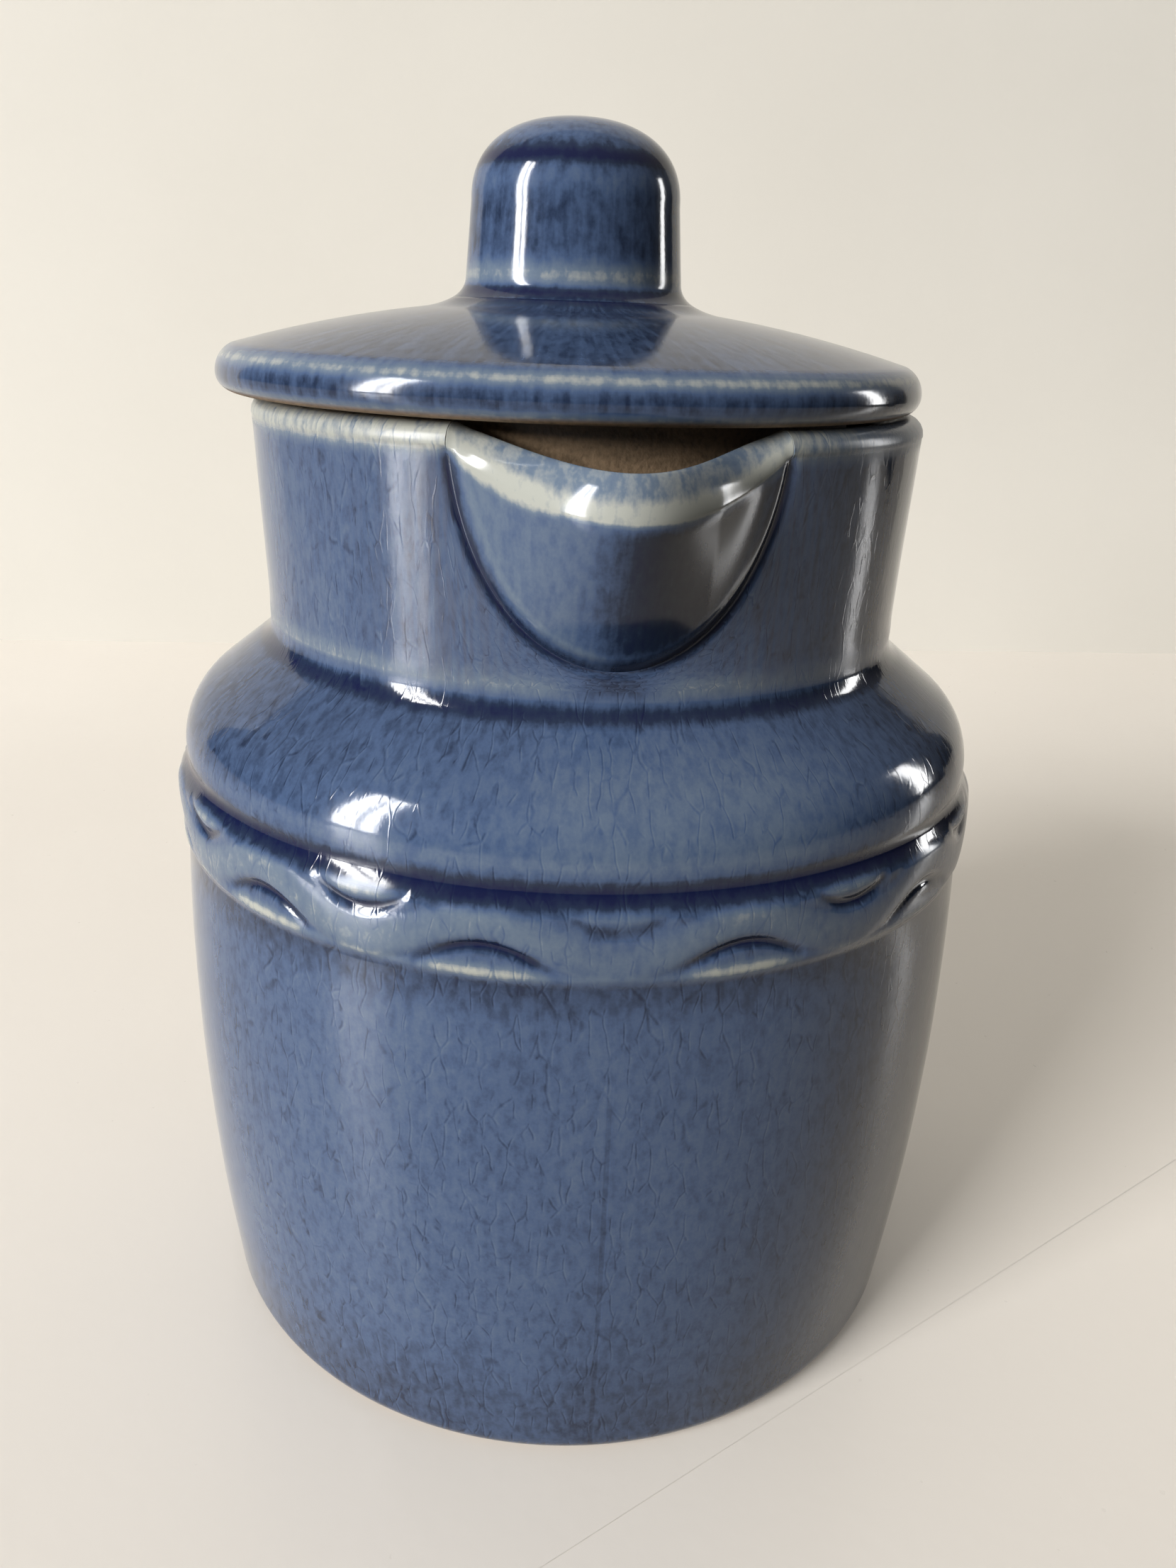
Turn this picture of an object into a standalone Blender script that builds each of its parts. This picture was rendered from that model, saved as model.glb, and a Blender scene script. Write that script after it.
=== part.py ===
"""Lidded pouring crock of glazed stoneware.

A barrel-shaped pot with a round shoulder, a braided band, a straight neck and a stuck-on
pouring lip, and a loose lid with a locating flange and a stem knob.
Metres, +Z up. The origin is the centre of the foot, and the lip points along -Y.
"""

import math

import bmesh
import bpy
from mathutils import Matrix, Vector

# Clearance between pieces that touch
GAP = 0.0003

# Barrel, foot and floor
BELLY_RADIUS = 0.0546
BELLY_HEIGHT = 0.0480
FOOT_RADIUS = 0.0519
FOOT_CORNER = 0.0032
FOOT_RING_WIDTH = 0.0055
FOOT_RECESS = 0.0018
WALL = 0.0048
FLOOR = 0.0065
FLOOR_CORNER = 0.0080

# Braided band: a raised strip with crescent creases between its strands
BAND_BOTTOM = 0.0710
BAND_HEIGHT = 0.0095
BAND_PROUD = 0.0005
BAND_EDGE = 0.0005
BRAID_WAVES = 12
CREASE_RADIUS = 0.0013
CREASE_LIFT = 0.0003
CREASE_END = 0.1
LOWER_CREASE_SHARE = 0.60
LOWER_CREASE_RISE = 0.0047
UPPER_CREASE_SHARE = 0.48
UPPER_CREASE_DROP = 0.0038
CREASE_MARGIN = 0.0003

# Groove over the band, and the shoulder: an arc that turns into a cone
GROOVE_HEIGHT = 0.0023
GROOVE_DEPTH = 0.0004
SHOULDER_STEP = 0.0011
SHOULDER_RADIUS = 0.0100
SHOULDER_TURN = math.radians(52.0)

# Neck
NECK_FOOT_RADIUS = 0.0414
NECK_FLARE = 0.0011
NECK_HEIGHT = 0.0293
NECK_WALL = 0.0043
NECK_FILLET = 0.0013

# Pouring lip: a beak that fills a half-elliptic notch in the neck
LIP_HALF_WIDTH = 0.0176
LIP_FOOT = 0.0046
LIP_PROUD = 0.0005
LIP_REACH = 0.0094
LIP_INNER_REACH = 0.0088
LIP_DIP = 0.0024
LIP_BEVEL = 0.0033
LIP_FLARE = 1.15
LIP_END_ANGLE = math.radians(80.0)

# Lid plate
LID_SHIFT = 0.0024
LID_OVERHANG = 0.0015
LID_RISE = 0.0114
LID_WALL = 0.0050
RIM_TOP_ROUND = 0.0036
RIM_BOTTOM_ROUND = 0.00205
RIM_TOP_TURN = math.radians(65.0)
BOSS_FILLET = 0.0020

# Locating flange under the lid
FLANGE_WALL = 0.0040
FLANGE_DEPTH = 0.0090
FLANGE_ROUND = 0.0012
RECESS_SLOPE = 0.0015

# Knob
KNOB_FOOT_RADIUS = 0.0150
KNOB_RADIUS = 0.01345
KNOB_TOP_RADIUS = 0.0128
KNOB_FILLET = 0.0018
KNOB_STEM = 0.0106
KNOB_CROWN = 0.0095

# Number of flat sides that stand for a full turn, and of points along curved stretches
BODY_SIDES = 48
LID_SIDES = 48
KNOB_SIDES = 32
NOTCH_SIDES = 64
CREASE_POINTS = 7
LIP_COLUMNS = 19
LIP_ROWS = 7
NOSE_POINTS = 6
MERGE = 0.00001
SMOOTH_ANGLE = math.radians(40.0)

# Heights and radii that follow from the sizes above
BAND_TOP = BAND_BOTTOM + BAND_HEIGHT
SHOULDER_Z = BAND_TOP + GROOVE_HEIGHT
NECK_TOP_RADIUS = NECK_FOOT_RADIUS + NECK_FLARE
NECK_INNER_RADIUS = NECK_TOP_RADIUS - NECK_WALL
LID_RADIUS = NECK_TOP_RADIUS + LID_OVERHANG
FLANGE_RADIUS = NECK_INNER_RADIUS - LID_SHIFT - GAP
FLANGE_INNER_RADIUS = FLANGE_RADIUS - FLANGE_WALL


def barrel_radius(z):
    """Outer radius of the barrel at height z: a shallow parabola, fullest at the belly."""
    share = (z - BELLY_HEIGHT) / (BELLY_HEIGHT - FOOT_CORNER)
    return BELLY_RADIUS - (BELLY_RADIUS - FOOT_RADIUS) * share * share


BAND_RADIUS = barrel_radius(BAND_BOTTOM) + BAND_PROUD
SHOULDER_START = BAND_RADIUS - SHOULDER_STEP
SHOULDER_CENTRE = SHOULDER_START - SHOULDER_RADIUS


def cone_height(radius, arc_radius):
    """Height at which the cone over a shoulder arc of arc_radius has come in to radius."""
    end_r = SHOULDER_CENTRE + arc_radius * math.cos(SHOULDER_TURN)
    end_z = SHOULDER_Z + arc_radius * math.sin(SHOULDER_TURN)
    return end_z + (end_r - radius) / math.tan(SHOULDER_TURN)


NECK_FOOT_Z = cone_height(NECK_FOOT_RADIUS, SHOULDER_RADIUS)
RIM_Z = NECK_FOOT_Z + NECK_HEIGHT
SEAT_Z = RIM_Z + GAP
LIP_DROP = NECK_HEIGHT - LIP_FOOT


def neck_radius(z):
    """Outer radius of the neck at height z: a straight flare from its foot to its top."""
    return NECK_FOOT_RADIUS + NECK_FLARE * (z - NECK_FOOT_Z) / NECK_HEIGHT


def steps(start, end, count):
    """Evenly spaced values from start to end, both included."""
    return [start + (end - start) * i / (count - 1) for i in range(count)]


def arc(centre, radius, start, end, count):
    """Points (r, z) on a circle about centre, from the start angle to the end angle."""
    return [(centre[0] + radius * math.cos(a), centre[1] + radius * math.sin(a))
            for a in steps(start, end, count)]


def fillet(start, corner, end, count):
    """Points (r, z) of a curve from start to end that is drawn towards corner."""
    points = []
    for t in steps(0.0, 1.0, count):
        weights = ((1 - t) ** 2, 2 * t * (1 - t), t * t)
        points.append(tuple(sum(w * p[k] for w, p in zip(weights, (start, corner, end)))
                            for k in range(2)))
    return points


def on_ring(radius, angle, z):
    """A point at an angle that is counted from the lip's side, -Y, towards +X."""
    return (radius * math.sin(angle), -radius * math.cos(angle), z)


def clear_scene():
    """Remove every object that the scene starts with."""
    for obj in list(bpy.data.objects):
        bpy.data.objects.remove(obj, do_unlink=True)


def new_collection(name):
    """A collection of the scene, for the parts or for the cutters."""
    collection = bpy.data.collections.new(name)
    bpy.context.scene.collection.children.link(collection)
    return collection


def finish_material(name, colour, roughness):
    """A plain dielectric finish."""
    material = bpy.data.materials.new(name)
    material.use_nodes = True
    shader = material.node_tree.nodes["Principled BSDF"]
    shader.inputs["Base Color"].default_value = (*colour, 1.0)
    shader.inputs["Roughness"].default_value = roughness
    shader.inputs["Metallic"].default_value = 0.0
    return material


def add_object(name, mesh, collection, parent=None):
    """Link a mesh as a named object, placed by its parent."""
    obj = bpy.data.objects.new(name, mesh)
    collection.objects.link(obj)
    obj.parent = parent
    return obj


def add_frame(name, place, collection):
    """An empty that carries the pieces of one body."""
    frame = bpy.data.objects.new(name, None)
    frame.empty_display_size = NECK_WALL
    frame.location = place
    collection.objects.link(frame)
    return frame


def turned(name, profile, sides, collection, parent):
    """A turned piece: its profile, spun about Z by a Screw modifier.

    The profile starts half a side round, so that the lip and the creases meet flats, not edges.
    """
    mesh = bpy.data.meshes.new(name)
    half_side = math.pi / sides
    points = [(r * math.cos(half_side), r * math.sin(half_side), z) for r, z in profile]
    mesh.from_pydata(points, [(i, i + 1) for i in range(len(points) - 1)], [])
    obj = add_object(name, mesh, collection, parent)
    screw = obj.modifiers.new("turn", "SCREW")
    screw.axis = "Z"
    screw.angle = 2 * math.pi
    screw.steps = sides
    screw.render_steps = sides
    screw.use_merge_vertices = True
    screw.merge_threshold = MERGE
    screw.use_smooth_shade = True
    return obj


def cut(obj, cutter, name):
    """Take a cutter's shape out of an object."""
    modifier = obj.modifiers.new(name, "BOOLEAN")
    modifier.operation = "DIFFERENCE"
    modifier.solver = "EXACT"
    modifier.object = cutter


def hide_cutter(cutter):
    """Show a cutter as wire only."""
    cutter.hide_render = True
    cutter.display_type = "WIRE"


def body_profile():
    """Half section of the pot, from the middle of its floor over the rim to the foot."""
    inner_corner_z = FLOOR + FLOOR_CORNER
    inner_start = barrel_radius(inner_corner_z) - WALL
    corner_centre = (inner_start - FLOOR_CORNER, inner_corner_z)
    inside = [(0.0, FLOOR)]
    inside += arc(corner_centre, FLOOR_CORNER, -math.pi / 2, 0.0, 5)
    inside += [(barrel_radius(z) - WALL, z) for z in steps(inner_corner_z, BAND_BOTTOM, 5)[1:]]
    inner_arc = SHOULDER_RADIUS - WALL
    inside += arc((SHOULDER_CENTRE, SHOULDER_Z), inner_arc, 0.0, SHOULDER_TURN, 4)
    inside.append((NECK_INNER_RADIUS, cone_height(NECK_INNER_RADIUS, inner_arc)))

    nose = NECK_WALL / 2
    rim = arc((NECK_INNER_RADIUS + nose, RIM_Z - nose), nose, math.pi, 0.0, NOSE_POINTS + 1)

    along_cone = (NECK_FILLET * math.sin(SHOULDER_TURN), NECK_FILLET * math.cos(SHOULDER_TURN))
    outside = fillet((neck_radius(NECK_FOOT_Z + NECK_FILLET), NECK_FOOT_Z + NECK_FILLET),
                     (NECK_FOOT_RADIUS, NECK_FOOT_Z),
                     (NECK_FOOT_RADIUS + along_cone[0], NECK_FOOT_Z - along_cone[1]), 4)
    outside += arc((SHOULDER_CENTRE, SHOULDER_Z), SHOULDER_RADIUS, SHOULDER_TURN, 0.0, 7)

    groove_radius = SHOULDER_START - GROOVE_DEPTH
    outside.append((groove_radius, SHOULDER_Z - BAND_EDGE))
    outside.append((groove_radius, BAND_TOP + BAND_EDGE))
    outside += [(BAND_RADIUS - BAND_EDGE, BAND_TOP), (BAND_RADIUS, BAND_TOP - BAND_EDGE)]
    outside += [(BAND_RADIUS, BAND_BOTTOM + BAND_EDGE)]
    outside += [(barrel_radius(z), z) for z in steps(BAND_BOTTOM, FOOT_CORNER, 9)[:-1]]
    outside += arc((FOOT_RADIUS - FOOT_CORNER, FOOT_CORNER), FOOT_CORNER, 0.0, -math.pi / 2, 5)

    ring_inner = FOOT_RADIUS - FOOT_CORNER - FOOT_RING_WIDTH
    foot = [(ring_inner, 0.0), (ring_inner - FOOT_RECESS, FOOT_RECESS), (0.0, FOOT_RECESS)]
    return inside + rim + outside + foot


def crease_paths():
    """Paths of the crescent creases, each a list of (point, share of the full width)."""
    pitch = 2 * math.pi / BRAID_WAVES
    radius = BAND_RADIUS + CREASE_LIFT
    low = BAND_BOTTOM + CREASE_MARGIN
    high = BAND_TOP - CREASE_MARGIN
    paths = []
    for wave in range(BRAID_WAVES):
        lower = (pitch * (wave + 0.5), LOWER_CREASE_SHARE, low, LOWER_CREASE_RISE)
        upper = (pitch * wave, UPPER_CREASE_SHARE, high, -UPPER_CREASE_DROP)
        for middle, share, edge, swell in (lower, upper):
            path = []
            for s in steps(-1.0, 1.0, CREASE_POINTS):
                arch = math.cos(s * math.pi / 2)
                angle = middle + s * share * pitch / 2
                width = CREASE_END + (1 - CREASE_END) * arch
                path.append((on_ring(radius, angle, edge + swell * arch), width))
            paths.append(path)
    return paths


def crease_cutter(collection):
    """Tapered tubes that press the crescent creases into the band."""
    curve = bpy.data.curves.new("crease_path", "CURVE")
    curve.dimensions = "3D"
    curve.bevel_depth = CREASE_RADIUS
    curve.bevel_resolution = 1
    curve.use_fill_caps = True
    for path in crease_paths():
        spline = curve.splines.new("POLY")
        spline.points.add(len(path) - 1)
        for point, (place, width) in zip(spline.points, path):
            point.co = (*place, 1.0)
            point.radius = width
    source = add_object("crease_path", curve, collection)
    evaluated = source.evaluated_get(bpy.context.evaluated_depsgraph_get())
    mesh = bpy.data.meshes.new_from_object(evaluated)
    bpy.data.objects.remove(source, do_unlink=True)
    weld_mesh(mesh)
    cutter = add_object("crease_cutter", mesh, collection)
    hide_cutter(cutter)
    return cutter


def weld_mesh(mesh):
    """Join a mesh's loose caps and turn its faces outwards."""
    work = bmesh.new()
    work.from_mesh(mesh)
    bmesh.ops.remove_doubles(work, verts=work.verts, dist=MERGE)
    bmesh.ops.recalc_face_normals(work, faces=work.faces)
    work.to_mesh(mesh)
    work.free()


def notch_cutter(collection):
    """An elliptic bar along Y that opens the neck's wall for the lip."""
    depth = NECK_TOP_RADIUS + WALL
    work = bmesh.new()
    bmesh.ops.create_cone(work, cap_ends=True, segments=NOTCH_SIDES, radius1=1.0, radius2=1.0,
                          depth=depth)
    size = Matrix.Diagonal((LIP_HALF_WIDTH, LIP_DROP, 1.0, 1.0))
    turn = Matrix.Rotation(math.pi / 2, 4, "X")
    place = Matrix.Translation((0.0, -depth / 2, RIM_Z))
    bmesh.ops.transform(work, matrix=place @ turn @ size, verts=work.verts)
    mesh = bpy.data.meshes.new("notch_cutter")
    work.to_mesh(mesh)
    work.free()
    cutter = add_object("notch_cutter", mesh, collection)
    hide_cutter(cutter)
    return cutter


def lip_section(x):
    """Closed section of the lip at a distance x from its middle, as (x, y, z) points."""
    half = LIP_HALF_WIDTH - GAP
    drop = LIP_DROP - GAP
    low = RIM_Z - drop * math.sqrt(1 - (x / half) ** 2)
    swell = math.cos(math.pi / 2 * x / half) ** 2
    nose = NECK_WALL / 2
    top_inner = RIM_Z - nose - LIP_DIP * swell
    top_outer = top_inner - LIP_BEVEL * swell

    def inner(z):
        share = (z - low) / (top_inner - low)
        return math.sqrt(NECK_INNER_RADIUS ** 2 - x * x) + LIP_INNER_REACH * swell * share ** LIP_FLARE

    def outer(z):
        share = (z - low) / (top_outer - low)
        reach = LIP_PROUD + LIP_REACH * swell * share ** LIP_FLARE
        return math.sqrt(neck_radius(z) ** 2 - x * x) + reach

    rising = [Vector((inner(z), z)) for z in steps(low, top_inner, LIP_ROWS)]
    falling = [Vector((outer(z), z)) for z in steps(top_outer, low, LIP_ROWS)]
    start, end = rising[-1], falling[0]
    pull = nose * 4 / 3
    leave = start + (start - rising[-2]).normalized() * pull
    meet = end + (end - falling[1]).normalized() * pull
    edge = []
    for t in steps(0.0, 1.0, NOSE_POINTS)[1:-1]:
        weights = ((1 - t) ** 3, 3 * t * (1 - t) ** 2, 3 * t * t * (1 - t), t ** 3)
        total = Vector((0.0, 0.0))
        for weight, point in zip(weights, (start, leave, meet, end)):
            total += weight * point
        edge.append(total)
    return [(x, -y, z) for y, z in rising + edge + falling]


def pouring_lip(collection, parent):
    """The beak: a loft of sections that run across it, closed at both ends."""
    half = LIP_HALF_WIDTH - GAP
    columns = [half * math.sin(a) for a in steps(-LIP_END_ANGLE, LIP_END_ANGLE, LIP_COLUMNS)]
    work = bmesh.new()
    loops = [[work.verts.new(p) for p in lip_section(x)] for x in columns]
    for first, second in zip(loops, loops[1:]):
        for i in range(len(first)):
            j = (i + 1) % len(first)
            work.faces.new((first[i], first[j], second[j], second[i]))
    work.faces.new(loops[0])
    work.faces.new(loops[-1])
    bmesh.ops.recalc_face_normals(work, faces=work.faces)
    mesh = bpy.data.meshes.new("pouring_lip")
    work.to_mesh(mesh)
    work.free()
    return add_object("pouring_lip", mesh, collection, parent)


def plate_profile():
    """Half section of the lid plate, from its boss over the rim to its hollow underside."""
    rim_z = RIM_BOTTOM_ROUND
    rim_top = arc((LID_RADIUS - RIM_TOP_ROUND, rim_z), RIM_TOP_ROUND, RIM_TOP_TURN, 0.0, 6)
    edge_r, edge_z = rim_top[0]
    fall = (LID_RISE - edge_z) / edge_r ** 2

    def dome(r):
        return LID_RISE - fall * r * r

    boss_end = KNOB_FOOT_RADIUS + BOSS_FILLET
    top = [(0.0, LID_RISE)]
    top += fillet((KNOB_FOOT_RADIUS, LID_RISE), (KNOB_FOOT_RADIUS, dome(KNOB_FOOT_RADIUS)),
                  (boss_end, dome(boss_end)), 4)
    top += [(r, dome(r)) for r in steps(boss_end, edge_r, 6)[1:-1]]
    rim_bottom = arc((LID_RADIUS - RIM_BOTTOM_ROUND, rim_z), RIM_BOTTOM_ROUND,
                     0.0, -math.pi / 2, 5)[1:]
    hollow_edge = FLANGE_INNER_RADIUS - RECESS_SLOPE
    under = [(FLANGE_INNER_RADIUS, 0.0)]
    under += [(r, dome(r) - LID_WALL) for r in steps(hollow_edge, 0.0, 5)]
    return top + rim_top + rim_bottom + under


def flange_profile():
    """Section of the locating flange, closed on itself, hanging below the seat."""
    top = -GAP
    low = top - FLANGE_DEPTH
    outer = (FLANGE_RADIUS - FLANGE_ROUND, low + FLANGE_ROUND)
    inner = (FLANGE_INNER_RADIUS + FLANGE_ROUND, low + FLANGE_ROUND)
    section = [(FLANGE_RADIUS, top)]
    section += arc(outer, FLANGE_ROUND, 0.0, -math.pi / 2, 4)
    section += arc(inner, FLANGE_ROUND, -math.pi / 2, -math.pi, 4)
    section.append((FLANGE_INNER_RADIUS, top))
    section.append(section[0])
    return section


def knob_profile():
    """Half section of the knob, from the middle of its crown down to its flat foot."""
    foot = LID_RISE + GAP
    stem_top = foot + KNOB_STEM
    crown = [(KNOB_TOP_RADIUS * math.cos(a), stem_top + KNOB_CROWN * math.sin(a))
             for a in steps(math.pi / 2, 0.0, 9)]
    crown[0] = (0.0, stem_top + KNOB_CROWN)
    base = fillet((KNOB_RADIUS, foot + KNOB_FILLET), (KNOB_RADIUS, foot + KNOB_FILLET / 4),
                  (KNOB_FOOT_RADIUS, foot), 4)
    return crown + base + [(0.0, foot)]


def close_ring(obj):
    """Weld the first and last points of a ring's section after it is turned."""
    weld = obj.modifiers.new("close", "WELD")
    weld.merge_threshold = MERGE


def build():
    """Make every piece of the pot and its lid."""
    clear_scene()
    parts = new_collection("pouring_crock")
    cutters = new_collection("cutters")
    crock = add_frame("crock", (0.0, 0.0, 0.0), parts)
    lid = add_frame("lid", (-LID_SHIFT, 0.0, SEAT_Z), parts)

    glaze = (0.115, 0.155, 0.300)
    clay = (0.300, 0.190, 0.110)

    body = turned("crock_body", body_profile(), BODY_SIDES, parts, crock)
    cut(body, notch_cutter(cutters), "lip_notch")
    cut(body, crease_cutter(cutters), "braid_creases")
    body.data.materials.append(finish_material("body_glaze", glaze, 0.14))

    lip = pouring_lip(parts, crock)
    lip.data.materials.append(finish_material("lip_glaze", glaze, 0.14))
    lip.data.shade_smooth()
    lip.data.set_sharp_from_angle(angle=SMOOTH_ANGLE)

    plate = turned("lid_plate", plate_profile(), LID_SIDES, parts, lid)
    plate.data.materials.append(finish_material("lid_glaze", glaze, 0.14))

    flange = turned("lid_flange", flange_profile(), LID_SIDES, parts, lid)
    close_ring(flange)
    flange.data.materials.append(finish_material("bare_clay", clay, 0.75))

    knob = turned("lid_knob", knob_profile(), KNOB_SIDES, parts, lid)
    knob.data.materials.append(finish_material("knob_glaze", glaze, 0.14))


build()
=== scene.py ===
"""Looks of the lidded pouring crock: glazed, turned pieces on the packed frame, and a plain stage."""

import math

import bpy
import numpy as np
from bpy.props import FloatProperty, FloatVectorProperty, IntProperty, PointerProperty
from bpy.types import Operator, Panel, PropertyGroup
from mathutils import Matrix, Vector


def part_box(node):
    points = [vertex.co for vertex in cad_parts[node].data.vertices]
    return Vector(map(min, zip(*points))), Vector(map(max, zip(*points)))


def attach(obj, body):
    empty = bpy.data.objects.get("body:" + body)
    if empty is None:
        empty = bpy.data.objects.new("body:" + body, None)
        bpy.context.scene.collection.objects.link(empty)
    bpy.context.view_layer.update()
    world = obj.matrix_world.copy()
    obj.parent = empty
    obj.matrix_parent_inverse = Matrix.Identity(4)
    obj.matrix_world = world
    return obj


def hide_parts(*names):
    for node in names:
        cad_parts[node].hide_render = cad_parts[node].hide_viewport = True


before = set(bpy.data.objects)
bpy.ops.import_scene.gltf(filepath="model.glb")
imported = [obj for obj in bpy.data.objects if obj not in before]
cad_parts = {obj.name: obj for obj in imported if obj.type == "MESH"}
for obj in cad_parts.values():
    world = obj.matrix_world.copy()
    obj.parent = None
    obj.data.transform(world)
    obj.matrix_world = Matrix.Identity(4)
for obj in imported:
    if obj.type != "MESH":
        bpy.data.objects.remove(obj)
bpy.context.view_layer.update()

bl_info = {
    "name": "Pouring crock",
    "version": (1, 0, 0),
    "blender": (4, 5, 0),
    "location": "View3D > Sidebar > Crock",
    "description": "Models and glazes a lidded pouring crock on its packed frame",
    "category": "Object",
}

MM = 0.001

# Rows and columns of the turned meshes
POT_COLUMNS = 520
LID_COLUMNS = 320
KNOB_COLUMNS = 160
LIP_COLUMNS = 161
LIP_INNER_ROWS = 32
LIP_NOSE_ROWS = 28
LIP_OUTER_ROWS = 70
MERGE = 1e-6
SMOOTH_ANGLE = math.radians(40.0)

# Curves of the lip and the knob: powers, and how the lip's ends hide under the rim
LIP_FLARE = 1.15
LIP_BULGE = 0.9
CROWN_FULLNESS = 0.85
LIP_TUCK = math.radians(0.2)
LIP_SHRINK = 0.98

# Braid: crease lengths as shares of a wave, heights over the band's lower edge
HUMP_CREASE = 0.277
DIP_CREASE = 0.217
CREASE_WIDTH = 0.7 * MM
STRAND_MIDDLE = 4.7 * MM
STRAND_SWING = 1.75 * MM
STRAND_HALF = 2.5 * MM
LOW_EYE = 1.0 * MM
HIGH_EYE = 8.25 * MM
EYE_HALF = 0.85 * MM

# Mould seam and the glaze's relief
SEAM_HALF = 0.4 * MM
SEAM_FADE = (45.0 * MM, 66.0 * MM)
GLAZE_RELIEF = 0.08 * MM
CLAY_RELIEF = 0.12 * MM

# Stage, in metres
FLOOR_SIZE = 3.0
WALL_SIZE = 1.0
TABLE_CENTRE = (-0.75, 1.237, 0.0)
TABLE_SLANT = math.radians(30.0)
APRON_DROP = 0.1 * MM
PANE_DISTANCE = 2.4
PANE_CENTRE = 1.14
PANE_TALL = 2.12

# Heights and radii that the pieces take from the frame
RIM_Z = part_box("crock_body")[1].z
SEAT_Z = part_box("lid_plate")[0].z
LID_CENTRE_X = sum(corner.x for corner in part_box("lid_plate")) / 2
KNOB_FOOT_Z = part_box("lid_knob")[0].z
KNOB_TOP_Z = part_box("lid_knob")[1].z
FLANGE_LOW, FLANGE_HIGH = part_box("lid_flange")
FLANGE_INNER = (FLANGE_HIGH.x - FLANGE_LOW.x) / 2 - 4.0 * MM


def length(name, description, default):
    """A size in metres."""
    return FloatProperty(name=name, description=description, default=default, unit="LENGTH",
                         precision=5, min=0.0)


def angle(name, description, degrees):
    """A turn, shown in degrees."""
    return FloatProperty(name=name, description=description, default=math.radians(degrees),
                         subtype="ANGLE")


def colour(name, description, default):
    """A finish colour, in linear light."""
    return FloatVectorProperty(name=name, description=description, default=default, size=3,
                               subtype="COLOR", min=0.0, max=1.0)


class PotSizes(PropertyGroup):
    """Sizes of the turned pot."""

    belly_radius: length("Belly radius", "Largest radius of the barrel", 54.6 * MM)
    belly_height: length("Belly height", "Height of the largest radius", 48.0 * MM)
    foot_radius: length("Foot radius", "Radius over the rounded foot", 51.9 * MM)
    foot_corner: length("Foot corner", "Rounding of the foot", 3.2 * MM)
    foot_ring: length("Foot ring", "Width of the ring that stands on the table", 5.5 * MM)
    foot_recess: length("Foot recess", "Hollow inside the foot ring", 1.8 * MM)
    wall: length("Wall", "Wall of the barrel", 4.8 * MM)
    floor: length("Floor", "Thickness of the floor", 6.5 * MM)
    floor_corner: length("Floor corner", "Rounding between floor and wall", 8.0 * MM)
    band_bottom: length("Band bottom", "Lower edge of the braided band", 71.0 * MM)
    band_height: length("Band height", "Height of the braided band", 9.5 * MM)
    band_proud: length("Band proud", "How far the band stands out", 0.5 * MM)
    band_edge: length("Band edge", "Half height of the band's soft lower edge", 0.8 * MM)
    band_brow: length("Band brow", "Height of the band's soft upper edge", 2.0 * MM)
    groove_height: length("Groove height", "Groove between band and shoulder", 2.3 * MM)
    groove_depth: length("Groove depth", "Depth of that groove", 0.15 * MM)
    shoulder_step: length("Shoulder step", "How far the shoulder stands back", 1.1 * MM)
    shoulder_radius: length("Shoulder radius", "Rounding of the shoulder", 10.0 * MM)
    shoulder_turn: angle("Shoulder turn", "Turn of the rounding before the slope", 52.0)
    neck_foot_radius: length("Neck foot radius", "Radius where the neck starts", 41.4 * MM)
    neck_flare: length("Neck flare", "How much wider the neck is at its rim", 1.1 * MM)
    neck_wall: length("Neck wall", "Wall of the neck", 4.3 * MM)
    neck_fillet: length("Neck fillet", "Rounding at the neck's foot", 2.4 * MM)
    bead_rise: length("Bead rise", "Height of the bead over the neck's foot", 2.6 * MM)
    bead_proud: length("Bead proud", "How far that bead stands out", 0.12 * MM)
    unevenness: length("Unevenness", "Slow waviness of the walls", 0.04 * MM)
    waves: IntProperty(name="Waves", description="Waves of the braid in a full turn",
                       default=12, min=3)
    strand_proud: length("Strand proud", "How far the braid's strand stands out", 0.32 * MM)
    crease_depth: length("Crease depth", "Depth of the braid's creases", 0.52 * MM)


class LipSizes(PropertyGroup):
    """Sizes of the pouring lip."""

    half_width: length("Half width", "Half the width of the lip at the rim", 17.6 * MM)
    foot: length("Foot", "Height of the lip's lowest point over the neck's foot", 4.6 * MM)
    proud: length("Proud", "How far the lip stands out of the neck", 0.5 * MM)
    reach: length("Reach", "How far the beak reaches out", 9.4 * MM)
    inner_reach: length("Inner reach", "How far the channel reaches out", 11.2 * MM)
    dip: length("Dip", "How far the beak's inner edge lies under the rim", 1.4 * MM)
    bevel: length("Bevel", "How far its outer edge lies under the inner one", 4.0 * MM)
    groove: length("Groove", "Depth of the furrow around the lip", 0.34 * MM)
    furrow: length("Furrow width", "Half width of that furrow", 0.65 * MM)


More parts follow.
